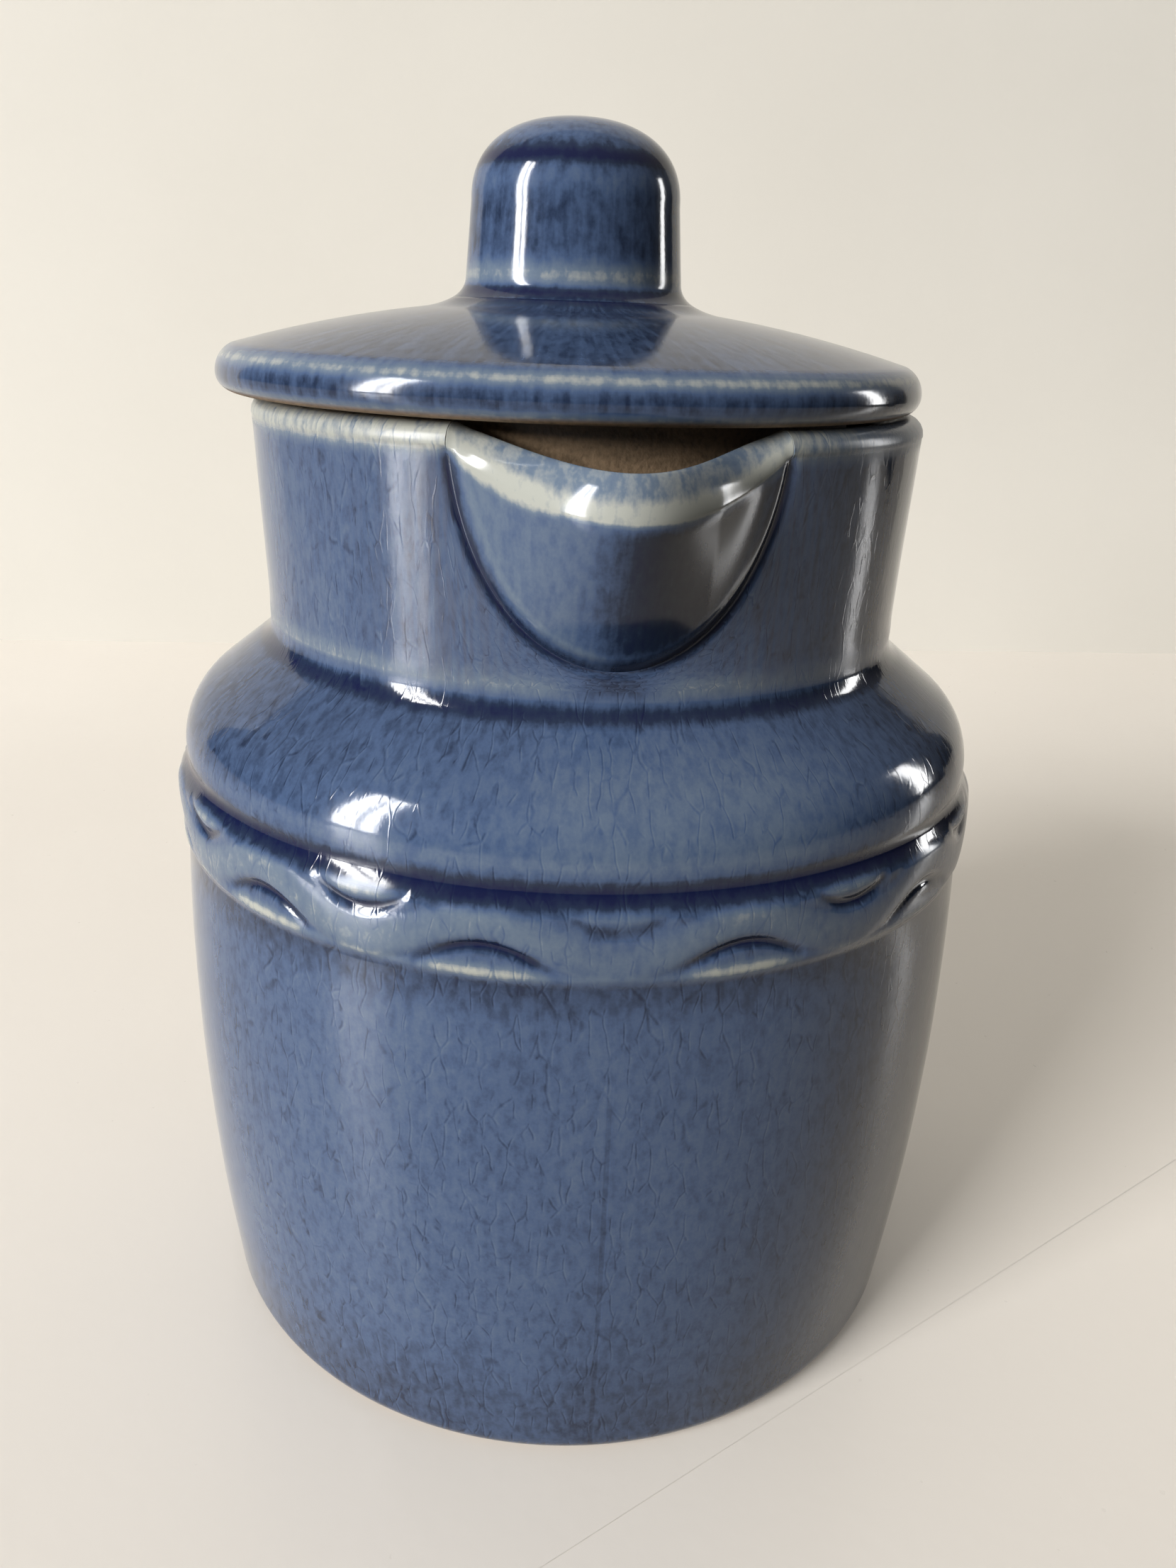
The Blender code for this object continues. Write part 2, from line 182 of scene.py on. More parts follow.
class LidSizes(PropertyGroup):
    """Sizes of the lid and its knob."""

    radius: length("Lid radius", "Radius of the lid plate", 44.0 * MM)
    rise: length("Lid rise", "Height of the dome over the seat", 11.4 * MM)
    wall: length("Lid wall", "Thickness of the dome", 5.0 * MM)
    rim_top: length("Rim top", "Upper rounding of the rim", 3.6 * MM)
    rim_bottom: length("Rim bottom", "Lower rounding of the rim", 2.05 * MM)
    rim_turn: angle("Rim turn", "Turn of the upper rounding", 65.0)
    boss: length("Boss", "Rounding around the knob", 4.0 * MM)
    knob_foot: length("Knob foot", "Radius of the knob's foot", 15.0 * MM)
    knob_stem: length("Knob stem", "Radius of the knob over its foot", 13.45 * MM)
    knob_shoulder: length("Knob shoulder", "Radius where the crown starts", 12.8 * MM)
    knob_crown: length("Knob crown", "Height of the rounded crown", 9.5 * MM)
    knob_fillet: length("Knob fillet", "Rounding at the knob's foot", 2.2 * MM)
    knob_toe: length("Knob toe", "Height of the flare at the knob's foot", 0.85 * MM)


class GlazeColours(PropertyGroup):
    """Colours of the glaze from its thinnest to its thickest, and of what it leaves bare."""

    thin: colour("Thin", "Glaze broken over an edge", (0.330, 0.335, 0.300))
    pale: colour("Pale", "Glaze on a swelling", (0.108, 0.142, 0.190))
    middle: colour("Middle", "Glaze on a plain wall", (0.050, 0.080, 0.152))
    deep: colour("Deep", "Thick glaze", (0.013, 0.022, 0.048))
    pooled: colour("Pooled", "Glaze that has run into a crease", (0.005, 0.008, 0.036))
    warm: colour("Warm", "Thin glaze that lets the clay through", (0.105, 0.090, 0.084))
    inside: colour("Inside", "Glaze inside the pot", (0.030, 0.021, 0.011))
    clay: colour("Clay", "Bare fired clay", (0.240, 0.165, 0.100))


class StageSetup(PropertyGroup):
    """Camera, lights and ground."""

    camera_distance: length("Camera distance", "From the pot's axis to the camera", 164.0 * MM)
    camera_height: length("Camera height", "Height of the camera", 137.2 * MM)
    camera_turn: angle("Camera turn", "Turn of the camera round the pot", -5.3)
    camera_yaw: angle("Camera yaw", "Turn of the camera to the right", 0.65)
    camera_pitch: angle("Camera pitch", "Downward tilt of the camera", 21.53)
    camera_roll: angle("Camera roll", "Roll of the camera", 2.22)
    focal_length: FloatProperty(name="Focal length", description="Focal length in millimetres",
                                default=27.67, subtype="DISTANCE_CAMERA")
    wall_distance: length("Wall distance", "From the pot's axis to the backdrop", 345.0 * MM)
    daylight: FloatProperty(name="Daylight", description="Brightness of the large soft panel",
                            default=25.0, min=0.0)
    window: FloatProperty(name="Window", description="Brightness of the panes seen in the glaze",
                          default=52.0, min=0.0)
    fill: FloatProperty(name="Fill", description="Strength of the surrounding light",
                        default=1.0, min=0.0)


def bell(x, centre, width):
    """A smooth hump of height one."""
    return np.exp(-((x - centre) / width) ** 2)


def ease(x, low, high):
    """Smooth step from nought at low to one at high."""
    share = np.clip((x - low) / (high - low), 0.0, 1.0)
    return share * share * (3.0 - 2.0 * share)


def arc(centre, radius, start, end, count):
    """Points (r, z) on a circle about centre."""
    return [(centre[0] + radius * math.cos(a), centre[1] + radius * math.sin(a))
            for a in np.linspace(start, end, count)]


def rounding(start, corner, end, count):
    """Points (r, z) of a curve from start to end that is drawn towards corner."""
    return [tuple((1 - t) ** 2 * s + 2 * t * (1 - t) * c + t * t * e
                  for s, c, e in zip(start, corner, end)) for t in np.linspace(0.0, 1.0, count)]


def swing(start, end, count):
    """Points (r, z) of a curve that leaves start and reaches end upright."""
    return [(start[0] + (end[0] - start[0]) * (1.0 - math.cos(math.pi * t)) / 2,
             start[1] + (end[1] - start[1]) * t) for t in np.linspace(0.0, 1.0, count)]


class PotShape:
    """Radii and heights of the pot and its lip that follow from their sizes."""

    def __init__(self, sizes, lip):
        self.sizes = sizes
        self.lip = lip
        self.band_top = sizes.band_bottom + sizes.band_height
        self.band_radius = self.barrel(sizes.band_bottom) + sizes.band_proud
        self.shoulder_z = self.band_top + sizes.groove_height
        self.shoulder_start = self.band_radius - sizes.shoulder_step
        self.shoulder_centre = self.shoulder_start - sizes.shoulder_radius
        self.neck_foot_z = self.cone_height(sizes.neck_foot_radius, sizes.shoulder_radius)
        self.neck_height = RIM_Z - self.neck_foot_z
        self.neck_inner = sizes.neck_foot_radius + sizes.neck_flare - sizes.neck_wall
        self.nose = sizes.neck_wall / 2
        self.lip_drop = self.neck_height - lip.foot
        self.lip_turn = math.asin(lip.half_width / self.neck(RIM_Z - self.lip_drop / 2))
        self.lip_width = self.lip_turn * sizes.neck_foot_radius

    def barrel(self, z):
        """Outer radius of the barrel: a shallow parabola, fullest at the belly."""
        sizes = self.sizes
        share = (z - sizes.belly_height) / (sizes.belly_height - sizes.foot_corner)
        return sizes.belly_radius - (sizes.belly_radius - sizes.foot_radius) * share ** 2

    def neck(self, z):
        """Outer radius of the neck: a straight flare."""
        return (self.sizes.neck_foot_radius
                + self.sizes.neck_flare * (z - self.neck_foot_z) / self.neck_height)

    def cone_height(self, radius, arc_radius):
        """Height at which the slope over a shoulder arc has come in to radius."""
        turn = self.sizes.shoulder_turn
        end_r = self.shoulder_centre + arc_radius * math.cos(turn)
        return self.shoulder_z + arc_radius * math.sin(turn) + (end_r - radius) / math.tan(turn)

    def lip_bottom(self, share):
        """Height of the lip's outline at a share of its half width."""
        return RIM_Z - self.lip_drop * np.sqrt(np.clip(1.0 - share ** 2, 0.0, 1.0))

    def from_outline(self, turn, z):
        """Distance along the neck from the lip's outline, positive outside the lip."""
        across = turn / self.lip_turn
        down = (RIM_Z - z) / self.lip_drop
        size = np.hypot(across, down) + MERGE
        slope = np.hypot(across / self.lip_width, down / self.lip_drop) / size + MERGE
        return (size - 1.0) / slope

    def furrow(self, turn, z, width):
        """Strength of the furrow along the lip's outline, fading at the rim and at its foot."""
        fade = 1.0 - 0.65 * bell(turn, 0.0, 0.3 * self.lip_turn)
        fade = fade * ease(RIM_Z - z, 1.9 * MM, 3.6 * MM)
        return fade * bell(self.from_outline(turn, z), 0.0, width)

    def wobble(self, turn, z):
        """Slow waviness of the pot's outer walls."""
        waves = (np.sin(7 * turn + z / (5.1 * MM)) + np.sin(11 * turn - z / (3.9 * MM) + 1.3)
                 + 0.6 * np.sin(17 * turn + z / (3.1 * MM)))
        return self.sizes.unevenness * waves / 2.6


class Section:
    """Rows of a half section, each a radius, a height, the stretch it is in and its share of it."""

    def __init__(self):
        self.points = []
        self.stretches = []
        self.shares = []

    def add(self, stretch, points):
        """Append a stretch of points."""
        self.points += [tuple(map(float, point)) for point in points]
        self.stretches += [stretch] * len(points)
        self.shares += list(np.linspace(0.0, 1.0, len(points)))

    def rows(self, *stretches):
        """True for the rows of these stretches."""
        return np.array([name in stretches for name in self.stretches])

    def along(self):
        """Length along the section up to each row."""
        points = np.array(self.points)
        return np.concatenate(([0.0], np.cumsum(np.hypot(*np.diff(points, axis=0).T))))


def pot_section(shape):
    """Half section of the pot, from the middle of its floor over the rim to the hollow foot."""
    sizes = shape.sizes
    section = Section()
    corner_z = sizes.floor + sizes.floor_corner
    corner_r = shape.barrel(corner_z) - sizes.wall - sizes.floor_corner
    section.add("floor", [(r, sizes.floor) for r in np.linspace(0.0, corner_r, 4)[:-1]])
    section.add("floor", arc((corner_r, corner_z), sizes.floor_corner, -math.pi / 2, 0.0, 7))
    heights = np.linspace(corner_z, sizes.band_bottom, 6)[1:]
    section.add("inner wall", [(shape.barrel(z) - sizes.wall, z) for z in heights])
    inner_arc = sizes.shoulder_radius - sizes.wall
    inner_foot = shape.cone_height(shape.neck_inner, inner_arc)
    turn = sizes.shoulder_turn
    under = arc((shape.shoulder_centre, shape.shoulder_z), inner_arc, 0.0, turn, 6)
    section.add("inner wall", under)
    soft = sizes.neck_fillet
    section.add("inner wall", rounding(
        (shape.neck_inner + soft * math.sin(turn), inner_foot - soft * math.cos(turn)),
        (shape.neck_inner, inner_foot), (shape.neck_inner, inner_foot + soft), 4))
    heights = np.linspace(inner_foot + soft, RIM_Z - shape.nose, 14)[1:-1]
    section.add("inner neck", [(shape.neck_inner, z) for z in heights])
    section.add("rim", arc((shape.neck_inner + shape.nose, RIM_Z - shape.nose), shape.nose,
                           math.pi, 0.0, 11))
    foot_z = shape.neck_foot_z + soft
    shares = np.linspace(0.0, 1.0, 34)[1:] ** 1.35
    heights = RIM_Z - shape.nose + (foot_z - RIM_Z + shape.nose) * shares
    section.add("neck", [(shape.neck(z), z) for z in heights])
    neck_foot = rounding((shape.neck(foot_z), foot_z),
                         (sizes.neck_foot_radius, shape.neck_foot_z),
                         (sizes.neck_foot_radius + soft * math.sin(turn),
                          shape.neck_foot_z - soft * math.cos(turn)), 10)
    section.add("neck foot", neck_foot[1:])
    section.add("shoulder", arc((shape.shoulder_centre, shape.shoulder_z),
                                sizes.shoulder_radius, turn, 0.0, 16))
    groove = (shape.shoulder_start - sizes.groove_depth, shape.band_top + sizes.groove_height / 2)
    brow = (shape.band_radius, shape.band_top - sizes.band_brow)
    section.add("groove", swing((shape.shoulder_start, shape.shoulder_z), groove, 6)[1:])
    section.add("groove", swing(groove, brow, 15)[1:])
    high, low = sizes.band_bottom + sizes.band_edge, sizes.band_bottom - sizes.band_edge
    heights = np.linspace(brow[1], high, 27)[1:]
    section.add("band", [(shape.band_radius, z) for z in heights])
    section.add("band edge", swing((shape.band_radius, high), (shape.barrel(low), low), 7)[1:])
    heights = np.linspace(low, sizes.foot_corner, 15)[1:-1]
    section.add("barrel", [(shape.barrel(z), z) for z in heights])
    ring_r = sizes.foot_radius - sizes.foot_corner
    section.add("foot", arc((ring_r, sizes.foot_corner), sizes.foot_corner, 0.0, -math.pi / 2, 9))
    inner_r = ring_r - sizes.foot_ring
    recess = sizes.foot_recess
    section.add("foot", rounding((inner_r, 0.0), (inner_r - recess / 2, 0.0),
                                 (inner_r - recess, recess), 4))
    section.add("foot", [(inner_r / 2, recess), (0.0, recess)])
    return section


def deselect():
    """Leave nothing selected. Blender is in object mode here."""
    for obj in bpy.context.selected_objects:
        obj.select_set(False)


def open_for_edit(obj):
    """Open one mesh in edit mode with all of it selected."""
    deselect()
    obj.select_set(True)
    bpy.context.view_layer.objects.active = obj
    bpy.ops.object.mode_set(mode="EDIT")
    bpy.ops.mesh.select_all(action="SELECT")


def turned(name, section, columns):
    """Turn a section about Z and return its mesh object and the section's row of each profile point.

    A flat square is merged to one point, extruded along the section in edit mode and turned.
    """
    deselect()
    bpy.ops.mesh.primitive_plane_add(size=MM, location=(0.0, 0.0, 0.0))
    obj = bpy.context.object
    obj.name = name
    obj.data.name = name
    bpy.ops.object.mode_set(mode="EDIT")
    bpy.ops.mesh.select_all(action="SELECT")
    bpy.ops.mesh.merge(type="CENTER")
    place = Vector((0.0, 0.0, 0.0))
    for row, (r, z) in enumerate(section.points):
        step = Vector((r, 0.0, z)) - place
        if row:
            bpy.ops.mesh.extrude_vertices_move(TRANSFORM_OT_translate={"value": step})
        else:
            bpy.ops.transform.translate(value=step)
        place += step
    bpy.ops.object.mode_set(mode="OBJECT")
    points = np.array([(v.co.x, v.co.z) for v in obj.data.vertices])
    wanted = np.array(section.points)
    rows = np.array([int(np.argmin(np.hypot(*(wanted - p).T))) for p in points])
    if len(set(rows)) != len(wanted):
        raise RuntimeError(f"{name}: the extruded profile lost a row")
    screw = obj.modifiers.new("turn", "SCREW")
    screw.axis = "Z"
    screw.angle = 2 * math.pi
    screw.steps = columns
    screw.render_steps = columns
    screw.use_merge_vertices = False
    bpy.ops.object.modifier_apply(modifier=screw.name)
    if len(obj.data.vertices) != columns * len(wanted):
        raise RuntimeError(f"{name}: turning gave an unexpected number of points")
    return obj, rows


def settle(obj, places, values):
    """Give a mesh its final places and its values per point, then close its poles and seams."""
    mesh = obj.data
    mesh.vertices.foreach_set("co", places.reshape(-1).astype(np.float32))
    for name, data in values.items():
        if data.ndim > 1 and data.shape[-1] == 3:
            attribute = mesh.attributes.new(name, "FLOAT_VECTOR", "POINT")
            attribute.data.foreach_set("vector", data.reshape(-1).astype(np.float32))
        else:
            attribute = mesh.attributes.new(name, "FLOAT", "POINT")
            attribute.data.foreach_set("value", data.reshape(-1).astype(np.float32))
    mesh.update()
    open_for_edit(obj)
    bpy.ops.mesh.remove_doubles(threshold=MERGE)
    bpy.ops.mesh.dissolve_degenerate(threshold=MERGE)
    bpy.ops.mesh.normals_make_consistent(inside=False)
    bpy.ops.object.mode_set(mode="OBJECT")
    bpy.ops.object.shade_smooth_by_angle(angle=SMOOTH_ANGLE)
    deselect()


def on_ring(radius, turn, z):
    """Points at a turn counted from the lip's side, -Y, towards +X."""
    radius, turn, z = np.broadcast_arrays(radius, turn, z)
    return np.stack((radius * np.sin(turn), -radius * np.cos(turn), z), axis=-1)


def dress(obj, body, node, material):
    """Let a finished piece stand for its CAD node."""
    obj.data.materials.clear()
    obj.data.materials.append(material)
    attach(obj, body)
    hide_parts(node)


def crescent(offset, half_turn):
    """Arch and taper of a crease that runs to both sides of its middle."""
    share = np.clip(offset / half_turn, -1.0, 1.0)
    return np.cos(share * math.pi / 2), (1.0 - share ** 2) ** 0.7


def braid(shape, turn, z):
    """Height of the braid over the band, and how pooled or thin the glaze is there.

    One strand waves along the band. A crease runs under each hump and over each dip of it, and a
    lens-shaped eye lies between the crease and the band's edge.
    """
    sizes = shape.sizes
    rise = z - sizes.band_bottom
    pitch = 2 * math.pi / sizes.waves
    dip = (turn / pitch - np.round(turn / pitch)) * pitch
    hump = (turn / pitch - 0.5 - np.round(turn / pitch - 0.5)) * pitch
    hump_arch, hump_taper = crescent(hump, HUMP_CREASE * pitch)
    dip_arch, dip_taper = crescent(dip, DIP_CREASE * pitch)
    low_crease = (1.3 + 2.9 * hump_arch) * MM
    high_crease = (8.6 - 2.4 * dip_arch) * MM
    creases = np.maximum(hump_taper * bell(rise, low_crease, CREASE_WIDTH),
                         0.9 * dip_taper * bell(rise, high_crease, CREASE_WIDTH))
    middle = STRAND_MIDDLE - STRAND_SWING * np.cos(sizes.waves * turn)
    strand = np.clip(1.0 - ((rise - middle) / STRAND_HALF) ** 2, 0.0, 1.0) ** 0.7
    eyes = np.maximum(hump_taper * bell(rise, LOW_EYE, EYE_HALF),
                      dip_taper * bell(rise, HIGH_EYE, EYE_HALF))
    brim = (bell(dip, 0.0, 0.2 * pitch) * bell(rise, 0.9 * MM, 0.5 * MM)
            + 0.7 * bell(hump, 0.0, 0.2 * pitch) * bell(rise, 7.9 * MM, 0.8 * MM))
    soft = 1.0 - 0.6 * bell(turn, 0.0, math.radians(6.0))
    height = soft * (sizes.strand_proud * (strand + 0.25 * eyes) - sizes.crease_depth * creases)
    thin = np.clip(0.95 * eyes + 0.42 * strand + 0.45 * brim, 0.0, 1.0) * (1.0 - creases)
    return height, soft * creases, soft * thin


def column_turns(shape, columns):
    """Turns of the pot's columns, closer together along the sides of the lip."""
    fine = np.linspace(-math.pi, math.pi, 20001)
    crowd = 1.0 + 3.0 * bell(np.abs(fine), shape.lip_turn, math.radians(2.0))
    total = np.concatenate(([0.0], np.cumsum((crowd[1:] + crowd[:-1]) / 2)))
    return np.interp(np.arange(columns) / columns, total / total[-1], fine)


def pot_surface(shape, section, turn):
    """Radius and height of the pot's points, by column and row."""
    lip = shape.lip
    points = np.array(section.points)
    shares = np.array(section.shares)[None, :]
    r = np.repeat(points[None, :, 0], len(turn), axis=0)
    z = np.repeat(points[None, :, 1], len(turn), axis=0)

    # the notch: the neck's rows are drawn down under the lip's outline
    brow = RIM_Z - shape.nose
    top = np.minimum(shape.lip_bottom(turn / shape.lip_turn), brow)
    open_here = top < brow - MERGE
    for stretch in ("neck", "inner neck"):
        rows = section.rows(stretch)
        foot = points[rows, 1].min()
        z[:, rows] = foot + (z[:, rows] - foot) * (top - foot) / (brow - foot)
    neck = section.rows("neck")
    r[:, neck] = shape.neck(z[:, neck])
    rim = section.rows("rim")
    flat = shape.neck_inner + (shape.neck(top) - shape.neck_inner) * shares[:, rim]
    r[:, rim] = np.where(open_here, flat, r[:, rim])
    z[:, rim] = np.where(open_here, top, z[:, rim])

    # what stands out of the plain turned wall or is cut into it
    outside = neck | section.rows("neck foot")
    walls = outside | section.rows("shoulder", "groove", "band", "band edge", "barrel")
    outward = np.where(rim, shares, 1.0 * outside)
    bead = outside * bell(z, shape.neck_foot_z + shape.sizes.bead_rise, 1.4 * MM)
    band = section.rows("groove", "band", "band edge")
    r = r - outward * lip.groove * shape.furrow(turn, z, lip.furrow)
    r = r + np.where(rim, shares, 1.0 * walls) * shape.wobble(turn, z)
    r = r + shape.sizes.bead_proud * bead + band * braid(shape, turn, z)[0]
    return r, z


def pot_glaze(shape, section, turn, z):
    """How the glaze lies on the pot's points: pooled, thin, warm, bare, or inside the pot, with painted
    shade on its right side, on the left of its shoulder and towards its foot, and painted light on the
    front of its shoulder.
    """
    sizes = shape.sizes
    radius = np.array(section.points)[:, 0]
    shares = np.array(section.shares)[None, :]
    neck = section.rows("neck", "rim")
    outside = section.rows("neck", "neck foot")
    foot = section.rows("foot")
    outer = ~section.rows("floor", "inner wall", "inner neck", "foot")
    outer |= foot & (radius > sizes.foot_radius - sizes.foot_corner)
    creases, strands = (section.rows("groove", "band", "band edge") * value
                        for value in braid(shape, turn, z)[1:])
    slope = section.rows("neck foot", "shoulder")
    bottom = bell(turn, 0.0, math.radians(7.0)) * bell(z, shape.neck_foot_z + 3.0 * MM, 2.5 * MM)
    pooled = np.maximum.reduce((
        creases,
        0.95 * bell(z, shape.band_top + 0.5 * MM, 1.6 * MM),
        0.40 * bell(z, sizes.band_bottom - 0.7 * MM, 0.7 * MM),
        0.80 * bell(z, shape.neck_foot_z - 0.2 * MM, 1.2 * MM),
        # painted shade: the left of the shoulder darkened, laid on as thicker glaze
        0.30 * slope * bell(turn, math.radians(-55.0), math.radians(30.0)),
        0.85 * outside * shape.furrow(turn, z, 0.7 * MM),
        # painted shade: the outer wall darkened on its right side, away from the light
        0.42 * outer * bell(turn, math.radians(65.0), math.radians(28.0)),
        0.45 * bottom,
        # painted shade: darker towards the foot
        0.32 * ease(-z, -24.0 * MM, -1.0 * MM)))
    thin = np.maximum.reduce((
        strands,
        0.30 * bell(z, shape.shoulder_z + 1.4 * MM, 1.3 * MM),
        # painted light: the front of the shoulder lightened, laid on as thinner glaze
        0.24 * slope * bell(turn, math.radians(10.0), math.radians(35.0)),
        0.50 * bell(z, shape.neck_foot_z + sizes.bead_rise, 1.3 * MM) * (1.0 - bottom),
        0.80 * neck * ease(z, RIM_Z - 4.2 * MM, RIM_Z - 2.2 * MM)))
    warm = outside * (0.05 + 0.18 * bell(np.abs(turn), math.radians(25.0), math.radians(9.0)))
    warm = warm * ease(z, shape.neck_foot_z + 0.5 * MM, shape.neck_foot_z + 4.0 * MM)
    bare = foot * ease(-z, -0.9 * MM, -0.4 * MM)
    inner = np.where(section.rows("rim"), shares < 0.4, ~(outer | foot)) * np.ones_like(z)
    return {"pooled": pooled * outer, "thin": thin * outer * (1.0 - 0.7 * pooled),
            "warm": warm * (1.0 - pooled), "bare": bare, "inner": inner}


def wrapped(section, turn, radius):
    """Coordinates for patterns: round a plain cylinder, and along the section."""
    return on_ring(radius, turn, section.along()[None, :])


class CROCK_OT_pot(Operator):
    """Turn the pot, open its neck for the lip and press the braid into its band"""

    bl_idname = "crock.pot"
    bl_label = "Pot"

    def execute(self, context):
        scene = context.scene
        shape = PotShape(scene.crock_pot, scene.crock_lip)
        section = pot_section(shape)
        obj, rows = turned("crock_pot", section, POT_COLUMNS)
        turn = column_turns(shape, POT_COLUMNS)[:, None]
        r, z = pot_surface(shape, section, turn)
        values = pot_glaze(shape, section, turn, z)
        values["wrap"] = wrapped(section, turn, shape.sizes.belly_radius)
        settle(obj, on_ring(r, turn, z)[:, rows], {n: v[:, rows] for n, v in values.items()})
        dress(obj, "crock", "crock_body",
              glaze("pot glaze", scene.crock_glaze, craze=0.12, satin=0.30, seam=True))
        return {"FINISHED"}


def lip_loop(shape, share):
    """Places and glaze values of one section across the lip, from its inner foot to its outer one."""
    lip = shape.lip
    turn = share * shape.lip_turn
    low = float(shape.lip_bottom(share))
    swell = math.cos(math.pi / 2 * share) ** 2
    dip = max(0.0, 1.0 - (share / 0.85) ** 2) ** 1.5
    top_inner = RIM_Z - shape.nose - lip.dip * dip
    top_outer = top_inner - min(lip.bevel * (1.0 - share ** 4), 0.6 * (top_inner - low))

    up = np.linspace(0.0, 1.0, LIP_INNER_ROWS)
    z_in = low + (top_inner - low) * up
    y_in = shape.neck_inner * math.cos(turn) + lip.inner_reach * swell * up ** LIP_FLARE
    down = 1.0 - np.linspace(0.0, 1.0, LIP_OUTER_ROWS) ** 0.8
    z_out = low + (top_outer - low) * down
    gap = np.abs(shape.from_outline(turn, z_out))
    stand = lip.proud * ease(gap, 0.2 * MM, 2.0 * MM) * min(1.0, 2.0 * swell)
    r_out = (shape.neck(z_out) + shape.wobble(turn, z_out) + stand
             - lip.groove * shape.furrow(turn, z_out, lip.furrow))
    round_off = np.clip(1.0 - (top_outer - z_out) / (1.5 * MM), 0.0, 1.0) ** 2
    y_out = r_out * math.cos(turn) + swell * (lip.reach * down ** LIP_BULGE - 0.4 * MM * round_off)
    inner = np.stack((y_in, z_in), axis=-1)
    outer = np.stack((y_out, z_out), axis=-1)

    # the rim's rounding at the lip's ends, and a tight crest over an upright face in its middle
    pull = shape.nose * 4 / 3
    beak = 1.0 - share ** 4
    leave = inner[-1] + np.array((0.3 * MM * beak, pull + (1.5 * MM - pull) * beak))
    meet = outer[0] + np.array((-0.2 * MM * beak, pull + (2.4 * MM - pull) * beak))
    t = np.linspace(0.0, 1.0, LIP_NOSE_ROWS + 2)[1:-1]
    u = t[:, None]
    nose = ((1 - u) ** 3 * inner[-1] + 3 * u * (1 - u) ** 2 * leave
            + 3 * u * u * (1 - u) * meet + u ** 3 * outer[0])
    loop = np.concatenate((inner, nose, outer))
    across = shape.neck_inner + (r_out[0] - shape.neck_inner) * t * t * (3.0 - 2.0 * t)
    radius = np.concatenate((np.full(len(inner), shape.neck_inner), across, r_out))
    places = np.stack((radius * math.sin(turn), -loop[:, 0], loop[:, 1]), axis=-1)
    return places, lip_glaze(shape, share, t, z_out, top_outer)


def lip_glaze(shape, share, t, z_out, top_outer):
    """How the glaze lies along that section: cream along the beak's edge, pooled in the furrow, with
    painted light on the left flank and painted shade over the middle and right of the front.
    """
    turn = share * shape.lip_turn
    inside = np.zeros(LIP_INNER_ROWS)
    gap = np.abs(shape.from_outline(turn, z_out))
    ends = ease(abs(share), 0.5, 0.8)
    # painted shade: the front below the crest darkened over its middle and right side
    painted_lip_shade = 0.75 * ease(share, -0.25, 0.15)
    drop = (0.5 + 1.5 * ease(-share, 0.25, 0.6)) * MM
    fall = top_outer - z_out
    face = np.maximum(0.52 + 0.38 * ease(t, 0.62, 0.86), 0.70 * ends)
    # painted light: the left flank of the lip, on the window side, lightened
    painted_flank_light = 0.18 * ease(-share, 0.0, 0.4) * np.ones_like(fall)
    front = np.maximum.reduce((0.90 * (1.0 - ease(fall, 0.0, drop)),
                               0.40 * bell(gap, 1.9 * MM, 0.7 * MM), painted_flank_light))
    thin = np.concatenate((inside, face, front))
    lip_pool_and_shade = np.maximum(0.95 * shape.furrow(turn, z_out, 1.0 * MM),
                      painted_lip_shade * ease(fall, 0.4 * MM, 1.6 * MM))
    pooled = np.concatenate((inside, 0.0 * t, lip_pool_and_shade))
    brown = np.concatenate((inside + 1.0, 1.0 - ease(t, 0.03, 0.12), 0.0 * z_out))
    return {"pooled": pooled, "thin": thin, "warm": 0.0 * thin, "bare": 0.0 * thin, "inner": brown}


def lip_grid(name, columns, rows):
    """A flat grid of points, and the column and row of each."""
    deselect()
    bpy.ops.mesh.primitive_grid_add(x_subdivisions=columns - 1, y_subdivisions=rows - 1, size=1.0)
    obj = bpy.context.object
    obj.name = name
    obj.data.name = name
    flat = np.array([v.co.xy for v in obj.data.vertices]) + 0.5
    if len(flat) != columns * rows:
        raise RuntimeError(f"{name}: the grid has an unexpected number of points")
    return obj, np.round(flat * (columns - 1, rows - 1)).astype(int)


def close_ends(obj):
    """Fill the open ends of a tube in edit mode."""
    open_for_edit(obj)
    bpy.ops.mesh.remove_doubles(threshold=MERGE)
    bpy.ops.mesh.fill_holes(sides=0)
    bpy.ops.object.mode_set(mode="OBJECT")
    deselect()


def tucked(shape, places, tuck):
    """An end section of the lip, turned on by a tuck and shrunk a little, so that the rim hides it."""
    turn = np.arctan2(places[:, 0], -places[:, 1]) + tuck
    middle, brow = shape.neck_inner + shape.nose, RIM_Z - shape.nose
    radius = middle + LIP_SHRINK * (np.hypot(places[:, 0], places[:, 1]) - middle)
    return on_ring(radius, turn, brow + LIP_SHRINK * (places[:, 2] - brow))


